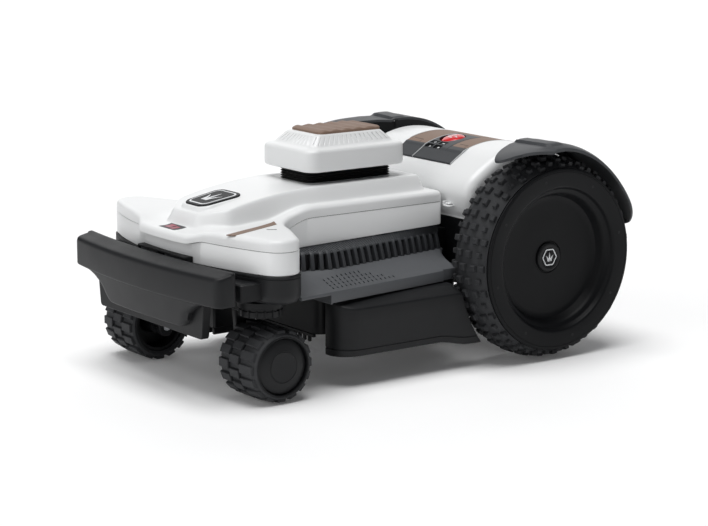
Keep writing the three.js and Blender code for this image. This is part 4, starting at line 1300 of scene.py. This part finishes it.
def head_pad():
    """The ribbed grip pad: soft waves that run across it, falling off at its edges."""
    x1, y0, y1 = pad_high[0] + 3.5, pad_low[1] - 2.5, pad_high[1] + 2.5
    base, top = CAP_TOP - 2.5, pad_high[2]
    outline = resample(rectangle(x1, y0, y1, 9, 5), 3)
    middle = (y0 + y1) / 2
    rings = [[(x, y, base) for x, y in outline]]
    for d in (0, 0.35, 1.0, 2.0, 3.4, 5.5, 8.5, 12, 16, 20, 25, 30, 35):
        shrink = d / (x1 + 0.5)
        edge = 3.0 * (1 - min(d / 3.4, 1)) ** 2
        ring = []
        for x, y in outline:
            px, py = x * (1 - shrink), middle + (y - middle) * (1 - shrink * 0.985)
            wave = 0.5 - 0.5 * math.cos(TAU * PAD_WAVES * (py - y0) / (y1 - y0))
            dip = WAVE_DEEP * (1 - abs(wave) ** 0.7) * min(1, d / 3)
            ring.append((px, py, top - dip - edge * 0.9 - 0.02))
        rings.append(ring)
    return loft(rings)


piece("grip_pad", *head_pad(), BROWN, "cutting_head", ["head_pad"], sharp=60)

bellows_low, bellows_high = box_mm("bellows")
FOLDS, FOLD_STEPS, FOLD_DEEP, RUBBER_THICK = 13, 8, 2.6, 1.5


def bellows():
    """A rectangular rubber bellows with round folds, open at both ends."""
    outline = rectangle(bellows_high[0], bellows_low[1], bellows_high[1], 16, 6)
    low, high = bellows_low[2] - 0.3, bellows_high[2]
    outer, inner = [], []
    for i in range(FOLDS * FOLD_STEPS + 1):
        z = low + (high - low) * i / (FOLDS * FOLD_STEPS)
        depth = FOLD_DEEP * (0.5 - 0.5 * math.cos(TAU * i / FOLD_STEPS)) ** 0.8
        outer.append([(x, y, z) for x, y in inset(outline, depth)])
        inner.append([(x, y, z) for x, y in inset(outline, depth + RUBBER_THICK)])
    return loft(outer + inner[::-1], closed=True)


folded = piece("bellows_skin", *bellows(), BELLOWS, None, ["bellows"], sharp=60)
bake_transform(folded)

# ---------------------------------------------------------------- rear cover
cover_back_low, cover_back_high = box_mm("rear_cover")
REAR_X, REAR_LOW = cover_back_high[0], cover_back_low[2]
REAR_R, REAR_END_R, REAR_WALL, SADDLE_DEEP = 157, 15, 11, 7
REAR_FRONT = [(-95, 205), (-104, 221), (-108, 240), (-104.5, 256), (-95, 268), (-80, 279), (-62, 290.4)]


def over(radius, start, end, steps):
    """Points of an arc about the axle, from start to end in degrees, 0 at the back and 90 on top."""
    return arc(AXLE_Y, AXLE_Z, radius, math.radians(start), math.radians(end), steps)


def side_angle(y, radius):
    """Angle in degrees of the place on such an arc that lies y behind the axle."""
    return math.degrees(math.acos(y / radius))


def rear_profile():
    """Side view of the rear cover, counter-clockwise from its lower front corner."""
    front = [(AXLE_Y + y, z) for y, z in smooth_line(REAR_FRONT, 6)]
    low_angle = math.degrees(math.asin((REAR_LOW - AXLE_Z) / REAR_R))
    return (front + over(REAR_R, side_angle(-46, REAR_R), low_angle, 44))[::-1]


def rear_cover():
    """The side view swept across, with its end faces rounded over."""
    outline = rear_profile()
    rings = []
    ends = [REAR_X - REAR_END_R * (1 - math.sin(a)) for a in np.linspace(0, math.pi / 2, 8)]
    for x in sorted(round(side * end, 4) for end in ends for side in (-1, 1)):
        ring = [(x, y, max(z, REAR_LOW)) for y, z in inset(outline, corner_pull(x, REAR_END_R, REAR_X))]
        ring[0] = (x, ring[1][1], REAR_LOW)
        ring[-1] = (x, ring[-2][1], REAR_LOW)
        rings.append(ring)
    return loft(rings)


def rear_room():
    """The hollow under the rear cover, open at its foot."""
    profile = rear_profile()
    inner = [q for p, q in zip(profile, inset(profile, REAR_WALL)) if p[1] > REAR_LOW + 16]
    outline = [(inner[-1][0], REAR_LOW - 6), (inner[0][0], REAR_LOW - 6)] + inner
    return x_prism(outline, -REAR_X + 5, REAR_X - 5)


def x_prism(outline, x0, x1, bevel=0.0):
    """A side view swept across from x0 to x1, its ends bevelled."""
    ends = [(x0, bevel), (x0 + bevel, 0), (x1 - bevel, 0), (x1, bevel)] if bevel else [(x0, 0), (x1, 0)]
    return loft([[(x, y, z) for y, z in inset(outline, d)] for x, d in ends])


def saddle_recess():
    """Side view of what is cut out of the rear cover for the saddle."""
    line = [(-90, 277.4), (-75.4, 277.4), (-61, 286.6)]
    floor = over(REAR_R - SADDLE_DEEP, side_angle(-61, 150), side_angle(95.3, 150), 40)
    top = [(AXLE_Y + 95.3, 345), (AXLE_Y - 88, 345)]
    return [(AXLE_Y + y, z) for y, z in line] + floor + top


STOP_TILT = math.radians(14)
STOP_PLACE = (0, AXLE_Y - 19.5, 297)
KEY_TILT = math.radians(24)
KEY_PLACES = [(x, AXLE_Y + y, z) for y, z in ((-56, 292.2), (-46, 297.3)) for x in (-10, 10)]
stop_well = turned(lathe_z([(0, -22), (20.5, -22), (20.5, 20), (0, 20)], 48), STOP_PLACE, STOP_TILT)
carve(
    piece("rear_shell", *rear_cover(), WHITE, "chassis", ["rear_cover"], sharp=40),
    rear_room(), x_prism(saddle_recess(), -71.6, 71.6), stop_well,
)

# ---------------------------------------------------------------- saddle across the rear cover
LIP_Y, SADDLE_BACK_Y, SKIN_IN_R = -62, 95, 150.4
LINE_X, PANEL_X, SADDLE_X = -22, 34, 70


def saddle_section(front, back, lift=0.0):
    """Side view of a strip of the saddle; one that starts at LIP_Y leans over the cover's nose."""
    outer_r = REAR_R + lift
    if front > LIP_Y:
        outline = over(outer_r, side_angle(front, outer_r), side_angle(back, outer_r), 30)
        under = over(SKIN_IN_R, side_angle(back, SKIN_IN_R), side_angle(front, SKIN_IN_R), 30)
        return (outline + under)[::-1]
    nose = [(LIP_Y, 287.4), (LIP_Y, 292.6 + lift), (LIP_Y + 2.2, 294.2 + lift)]
    outline = [(AXLE_Y + y, z) for y, z in nose]
    outline += over(outer_r, side_angle(-58, outer_r), side_angle(back, outer_r), 24)
    return (outline + over(SKIN_IN_R, side_angle(back, SKIN_IN_R), side_angle(-60.5, SKIN_IN_R), 24))[::-1]


def saddle_strip(x0, x1, front, back, lift=0.0):
    return x_prism(saddle_section(front, back, lift), x0, x1, 0.7)


def saddle_nose(x0, x1, lift=0.0):
    """The front edge of the saddle, laid over the slanted nose of the cover."""
    outline = [(LIP_Y - 0.2, 287.0), (-75.2, 277.9), (-80.4, 277.9), (-81.6 - lift, 278.9)]
    outline += [(-81.2 - lift, 280.2 + lift), (-66.6 - lift, 289.5 + lift), (-63.6, 291.6 + lift)]
    outline.append((LIP_Y - 0.2, 292.5 + lift))
    return x_prism([(AXLE_Y + y, z) for y, z in outline[::-1]], x0, x1, 0.7)


key_well = block((-8.5, 8.5), (-4.5, 4.5), (-3.6, 8), 0.5)
key_wells = [turned(key_well, place, KEY_TILT) for place in KEY_PLACES]
carve(
    piece("keypad_skin", *saddle_strip(LINE_X + 0.9, PANEL_X, LIP_Y, 6), SLATE, "chassis", ["keypad_panel"]),
    stop_well, *key_wells,
)
piece("saddle_lips", *join(
    saddle_strip(-SADDLE_X, LINE_X - 0.9, LIP_Y, -55), saddle_strip(PANEL_X + 0.2, SADDLE_X, LIP_Y, -50),
    saddle_nose(-SADDLE_X, LINE_X - 0.9), saddle_nose(LINE_X + 0.9, SADDLE_X),
), SLATE, "chassis")
right_trim = saddle_strip(-SADDLE_X, LINE_X - 0.9, -54.7, SADDLE_BACK_Y)
left_trim = saddle_strip(PANEL_X + 0.2, SADDLE_X, -49.7, SADDLE_BACK_Y)
middle_trim = saddle_strip(LINE_X - 0.7, PANEL_X - 0.1, 6.3, SADDLE_BACK_Y)
piece("saddle_right", *right_trim, BROWN, "chassis", ["saddle_trim_right"])
piece("saddle_left", *left_trim, BROWN, "chassis", ["saddle_trim_left"])
carve(piece("saddle_middle", *middle_trim, BROWN, "chassis"), stop_well)
piece("saddle_lines", *join(
    saddle_strip(LINE_X - 0.8, LINE_X + 0.8, LIP_Y, 6, 0.5),
    saddle_strip(SADDLE_X + 0.1, SADDLE_X + 1.5, LIP_Y, SADDLE_BACK_Y, 0.5),
    saddle_nose(LINE_X - 0.8, LINE_X + 0.8, 0.4), saddle_nose(SADDLE_X + 0.1, SADDLE_X + 1.5, 0.4),
), TRIM_LIGHT, "chassis")


def saddle_tabs():
    """Thin dark joints that outline a small tab at the front of each brown trim."""
    parts = []
    for x0, x1, front in ((-62, -40, -54.4), (42, 62, -49.4)):
        parts.append(saddle_strip(x0, x1, front + 8, front + 8.7, 0.12))
        parts.append(saddle_strip(x1 - 0.8, x1 + 0.8, front, front + 8.7, 0.12))
    return join(*parts)


piece("saddle_tabs", *saddle_tabs(), BLACK, "chassis")

# ---------------------------------------------------------------- stop button and keys
DOME_TOP = [(0, 11.2), (4, 11.1), (8, 10.6), (12, 9.6), (15.5, 8.2), (18, 6.5), (19.2, 4.6)]
DOME = DOME_TOP + [(19.5, 2.5), (19.2, 0), (18.5, -3.5), (0, -3.5)]


def on_dome(x, y, z):
    """A point of a flat shape, bent over the top of the dome."""
    return x, y, read_off(DOME_TOP, math.hypot(x, y), along=0) + z


def stop_mark():
    """A raised bar between two short ones, bent over the dome."""
    parts = []
    for y, half in ((0, 11), (5, 5), (-5, 5)):
        corners = [(-half, y - 1.1), (half, y - 1.1), (half, y + 1.1), (-half, y + 1.1)]
        parts.append(slab(resample(rounded(corners, 0.9, 3), 1.5), [(-1, 0), (0.3, 0)], on_dome))
    return turned(join(*parts), STOP_PLACE, STOP_TILT)


stop_dome = turned(lathe_z(DOME, 72), STOP_PLACE, STOP_TILT)
piece("stop_dome", *stop_dome, RED, "stop_button", ["stop_button"])
piece("stop_mark", *stop_mark(), LINE_WHITE, "stop_button")

SIGN_LOW, SIGN_HIGH = 1.2, 1.95


def key_cap():
    outline = rounded([(-8, -4), (8, -4), (8, 4), (-8, 4)], 1.4, 4)
    return slab(outline, [(-1.6, 0), (0.9, 0), (1.5, 0.4), (1.7, 1.2), (1.45, 2.6)])


def key_sign(outline):
    """A small printed sign with this outline, or a ring where none is given."""
    if outline:
        return slab(outline, [(SIGN_LOW, 0), (SIGN_HIGH, 0)])
    return ring_plate(arc(0, 0, 2, 0, TAU * 15 / 16, 15), 1.3, (0, 0), SIGN_LOW, SIGN_HIGH)


TRIANGLE = [(-1.8, -1.7), (2.2, 0), (-1.8, 1.7)]
SQUARE = [(-1.6, -1.6), (1.6, -1.6), (1.6, 1.6), (-1.6, 1.6)]
DASH = [(-2.6, -0.7), (2.6, -0.7), (2.6, 0.7), (-2.6, 0.7)]
for number, (place, sign) in enumerate(zip(KEY_PLACES, (TRIANGLE, SQUARE, None, DASH)), 1):
    name = f"key_{number}"
    piece(f"{name}_cap", *turned(key_cap(), place, KEY_TILT), BLACK, name, [name], sharp=40)
    piece(f"{name}_mark", *turned(key_sign(sign), place, KEY_TILT), LINE_WHITE, name)

# ---------------------------------------------------------------- fenders
FENDER_IN_X = box_mm("fender_left")[0][0]
FENDER_TAIL_R, FENDER_TOP_R, FENDER_THICK = 160, 169, 3.4
FENDER_TAIL, FENDER_TOP = 13, 97
STRAP_SLANT = 0.147
FENDER_ROLL = 26
# where the fender's section has points, 0 at its inner edge to 1 at its outer edge
FENDER_ACROSS = (
    0, 0.01, 0.04, 0.07, 0.12, 0.25, 0.4, 0.55, 0.66, 0.74, 0.8, 0.84, 0.87, 0.9, 0.93, 0.955, 0.975, 0.99, 1,
)
TONGUE = [(-42, 318.2), (-60, 317), (-80, 315.4), (-98, 313), (-110, 310.8), (-116.8, 309)]
TONGUE_INNER = bezier((215, -116.8), (190, -91), (168, -59), (150, -22), 12) + [(145.3, -10)]
TONGUE_OUTER = bezier((217, -116.8), (223, -116.8), (228, -112), (228, -101), 8)


def fender_arc(start, end, steps, sunk=0):
    """Points (y, z) of the fender's side view between two angles, 0 at the back and 90 on top."""
    points = []
    for degrees in np.linspace(start, end, steps):
        a = math.radians(degrees)
        r = FENDER_TAIL_R + (FENDER_TOP_R - FENDER_TAIL_R) * smooth_step(35, 92, degrees) - sunk
        points.append((AXLE_Y + r * math.cos(a), AXLE_Z + r * math.sin(a)))
    return points


def fender_line():
    """Places (y, z) along the fender and their upward directions, from its tail to the tip of its tongue."""
    line = fender_arc(FENDER_TAIL, FENDER_TOP, 64)
    line += [(AXLE_Y + y, z) for y, z in even(smooth_line(TONGUE, 8), 40)]
    points = np.array(line)
    along = np.gradient(points, axis=0)
    along /= np.linalg.norm(along, axis=1, keepdims=True)
    return points, np.stack([along[:, 1], -along[:, 0]], 1)


def fender_edges(y, degrees):
    """Inner and outer x of the fender at a place."""
    end = np.clip((28 - degrees) / 15, 0, 1)
    rounding = 1 - math.sqrt(1 - end * end)
    inner = read_off(TONGUE_INNER, y - AXLE_Y, along=1) + 8 * rounding
    return inner, read_off(TONGUE_OUTER, y - AXLE_Y, along=1) - FENDER_ROLL * rounding


def fender_lift(x, y, outer):
    """Height added to the plain shape: a raised band across, a lower tongue before it, and a rolled edge."""
    ridge = 184.5 + STRAP_SLANT * (x - 154)
    tongue = smooth_step(ridge - 0.8, ridge + 0.8, y)
    strap = tongue * (1 - smooth_step(ridge + 24, ridge + 27, y))
    strap *= 1 - smooth_step(outer - 15, outer - 10, x)
    strap *= smooth_step(FENDER_IN_X + 3, FENDER_IN_X + 6, x)
    roll = np.clip((x - (outer - FENDER_ROLL)) / FENDER_ROLL, 0, 1)
    front = 1 - smooth_step(AXLE_Y - 70, AXLE_Y - 10, y)
    return 1.9 * strap - 1.6 * (1 - tongue) - (6 - 3.5 * front) * roll ** 2.2


def fender():
    points, ups = fender_line()
    rings = []
    for (y, z), (up_y, up_z) in zip(points, ups):
        degrees = math.degrees(math.atan2(z - AXLE_Z, y - AXLE_Y))
        inner, outer = fender_edges(y, degrees)
        near = math.exp(-((y - 198) / 30) ** 2) if up_z > 0.7 else 0
        top, under = [], []
        for t in FENDER_ACROSS:
            x = inner + (outer - inner) * t
            slant = STRAP_SLANT * (x - 188) * near
            lift = float(fender_lift(x, y + slant, outer)) - (0.5 if t in (0, 1) else 0)
            py, pz = y + slant + up_y * lift, z + up_z * lift
            top.append((x, py, pz))
            under.append((x, py - up_y * FENDER_THICK, pz - up_z * FENDER_THICK))
        rings.append(top + under[::-1])
    return loft(rings)


def fender_web():
    """The fender's inner wall beside the rear cover."""
    outline = fender_arc(22, FENDER_TOP, 30, sunk=2) + over(152.5, FENDER_TOP, 22, 30)
    return x_prism(outline, FENDER_IN_X + 0.2, FENDER_IN_X + 3.4, 0.4)


def fender_flange():
    """A short wall hanging from the tongue's inner edge."""
    rings = []
    for y in np.linspace(-78, -8, 24):
        x = read_off(TONGUE_INNER, y, along=1) + 1.6
        top = read_off(TONGUE[::-1], y, along=0) - FENDER_THICK - 1.6
        foot = top - 17 * smooth_step(-78, -55, y) - 0.6
        rings.append([(u, AXLE_Y + y, z) for u, z in ((x, foot), (x + 3, foot), (x + 3, top), (x, top))])
    return loft(rings)


both_sides("fender_flange", fender_flange(), BLACK, "chassis")
both_sides("fender_skin", fender(), GREY, "chassis", ["fender_{}"], sharp=38)
both_sides("fender_web", fender_web(), BLACK, "chassis")

# ---------------------------------------------------------------- latch between the stem and the rear cover
piece("cover_latch", *join(
    block((93.5, 110), (93.2, 103), (222.5, 225), 0.6), block((93.5, 96), (93.2, 103), (224.4, 230), 0.6),
    block((98, 107), (95, 103), (226, 228.2), 0.6),
), WHITE, "chassis")

# ---------------------------------------------------------------- rear chassis
chassis_low, chassis_high = box_mm("rear_chassis")


def rear_chassis():
    front, back, low, high = AXLE_Y - 95, AXLE_Y + 143, chassis_low[2], chassis_high[2]
    corners = [(front, high), (front, 118), (front + 18, low), (back - 40, low), (back, 140), (back, high)]
    outline = rounded(corners, [1, 6, 8, 12, 12, 1], 5)
    neck = block((-78, 78), (chassis_low[1], front + 2), (126, 186), 1.5)
    return join(x_prism(outline, -chassis_high[0], chassis_high[0], 2.5), neck)


def on_back(x0, x1, z0, z1, proud, bevel):
    """A block that stands proud of the back by so much."""
    return block(sorted((x0, x1)), (chassis_high[1] - 1, chassis_high[1] + proud), (z0, z1), bevel)


def rear_panel():
    """A service panel on the back: a raised frame, bars at both sides and a blank plate between them."""
    parts = [on_back(-96, 96, z, z + 6, 3, 1) for z in (146, 192)]
    parts += [on_back(side * 90, side * 96, 150, 194, 3, 1) for side in (-1, 1)]
    for z in np.arange(160, 188, 7):
        parts += [on_back(side * 36, side * 84, z, z + 3.2, 2.4, 0.8) for side in (-1, 1)]
    return join(*parts, on_back(-28, 28, 158, 188, 1.6, 0.8))


def rear_screws():
    """Four socket screws beside the panel."""
    verts, faces = lathe_z([(0, -1), (5, -1), (5, 1.2), (4.2, 2), (2.4, 2), (2.2, 0.8), (0, 0.8)], 24)
    parts = []
    for x in (-116, 116):
        for z in (152, 192):
            parts.append(([(x + px, chassis_high[1] + pz, z + py) for px, py, pz in verts], faces))
    return join(*parts)


piece("rear_shell_low", *rear_chassis(), BLACK, "chassis", ["rear_chassis"])
piece("rear_panel", *rear_panel(), CHARCOAL, "chassis")
piece("rear_screws", *rear_screws(), STEEL, "chassis")

# ---------------------------------------------------------------- caster forks
fork_low, fork_high = box_mm("caster_fork_left")
SWIVEL_X, SWIVEL_Y = fork_high[0] - 32, (fork_low[1] + fork_high[1]) / 2


FORK_GRIPS = 16


def caster_fork():
    """A two-step boss under the tray, and one arm down the inner side to the axle."""
    low, high = 118, 140.4
    boss = turned(lathe_z([
        (0, low), (27, low), (29.5, low + 1), (30, low + 3), (30, low + 9), (28.6, low + 10),
        (28.6, low + 12),
        (32, low + 13), (32, high - 0.6), (31.4, high), (8, high), (8, fork_high[2]), (0, fork_high[2]),
    ], 72), (SWIVEL_X, SWIVEL_Y, 0))
    bridge = block((102, SWIVEL_X), (SWIVEL_Y - 14, SWIVEL_Y + 20), (low, 132), 2)
    arm = rounded([
        (SWIVEL_Y - 14, 132), (CASTER_Y - 12, 48), (CASTER_Y - 6, fork_low[2]), (CASTER_Y + 6, fork_low[2]),
        (CASTER_Y + 12, 48), (SWIVEL_Y + 20, 132),
    ], [2, 6, 6, 6, 6, 2], 4)
    rib = block((29, 31.4), (-1, 1), (low + 1, low + 11), 0.4)
    ribs = [turned(rib, (SWIVEL_X, SWIVEL_Y, 0), about_z=TAU * i / FORK_GRIPS) for i in range(FORK_GRIPS)]
    return join(boss, bridge, x_prism(arm, fork_low[0], 111, 1.2), *ribs)


both_sides("fork", caster_fork(), BLACK, "caster_fork_{}", ["caster_fork_{}"])

# ---------------------------------------------------------------- star blade
blade_low, blade_high = box_mm("star_blade")
BLADE_R = (blade_high[0] - blade_low[0]) / 2


def star_blade():
    arm_points = ((44, -0.5), (BLADE_R - 6, -0.17), (BLADE_R, 0.02), (BLADE_R - 10, 0.12), (46, 0.34))
    points = []
    for arm in range(4):
        for r, offset in arm_points:
            turn = arm * TAU / 4 + offset
            points.append((r * math.cos(turn), HEAD_Y + r * math.sin(turn)))
    outline = rounded(points, [6, 1.5, 1, 3, 8] * 4, 4)
    low, high = blade_low[2], blade_high[2]
    return slab(outline, [(low, 0.5), (low + 0.5, 0), (high - 1.4, 0), (high, 2.2)])


piece("blade_disc", *star_blade(), STEEL, "blade", ["star_blade"], sharp=25)

# ---------------------------------------------------------------- mark on the hub caps
HUB_MARK_R, HUB_MARK_RISE = 14, 0.3


def hub_mark():
    """A printed six-sided ring round three blades of grass on the hub cap's face."""
    corners = [(HUB_MARK_R * math.cos(TAU * i / 6), HUB_MARK_R * math.sin(TAU * i / 6)) for i in range(6)]
    outer = rounded(corners, 4, 4)
    inner = inset(outer, 1.6)
    rings = [(outer, -1), (outer, HUB_MARK_RISE), (inner, HUB_MARK_RISE), (inner, -1)]
    parts = [loft([[(y, z, lift) for y, z in line] for line, lift in rings], closed=True)]
    for blade in ((-5, 9, -2), (0, 12.5, 0), (5, 9, 2)):
        parts.append(slab(grass_blade(*blade, -6, 1.5, 0.15, 6), [(-1, 0), (HUB_MARK_RISE, 0)]))
    verts, faces = join(*parts)
    return [(hub_cap_high[0] - 0.1 + w, AXLE_Y + y, AXLE_Z + z) for y, z, w in verts], faces


both_sides("drive_hub_mark", hub_mark(), LINE_WHITE, "drive_wheel_{}")

# ---------------------------------------------------------------- beam under the tray, between the casters
BEAM_X, BEAM_FRONT_Y, BEAM_BACK_Y = 70, -290, -238


def front_beam():
    parts = [block((-BEAM_X, BEAM_X), (BEAM_FRONT_Y, BEAM_BACK_Y), (84, TRAY_LOW - 0.4), 2.5)]
    for x in np.arange(6 - BEAM_X, BEAM_X, 14.5):
        parts.append(block((x - 2.5, x + 2.5), (BEAM_FRONT_Y + 0.5, BEAM_BACK_Y - 0.5), (76, 86), 1))
    return join(*parts)


piece("front_beam", *front_beam(), BLACK, "chassis")
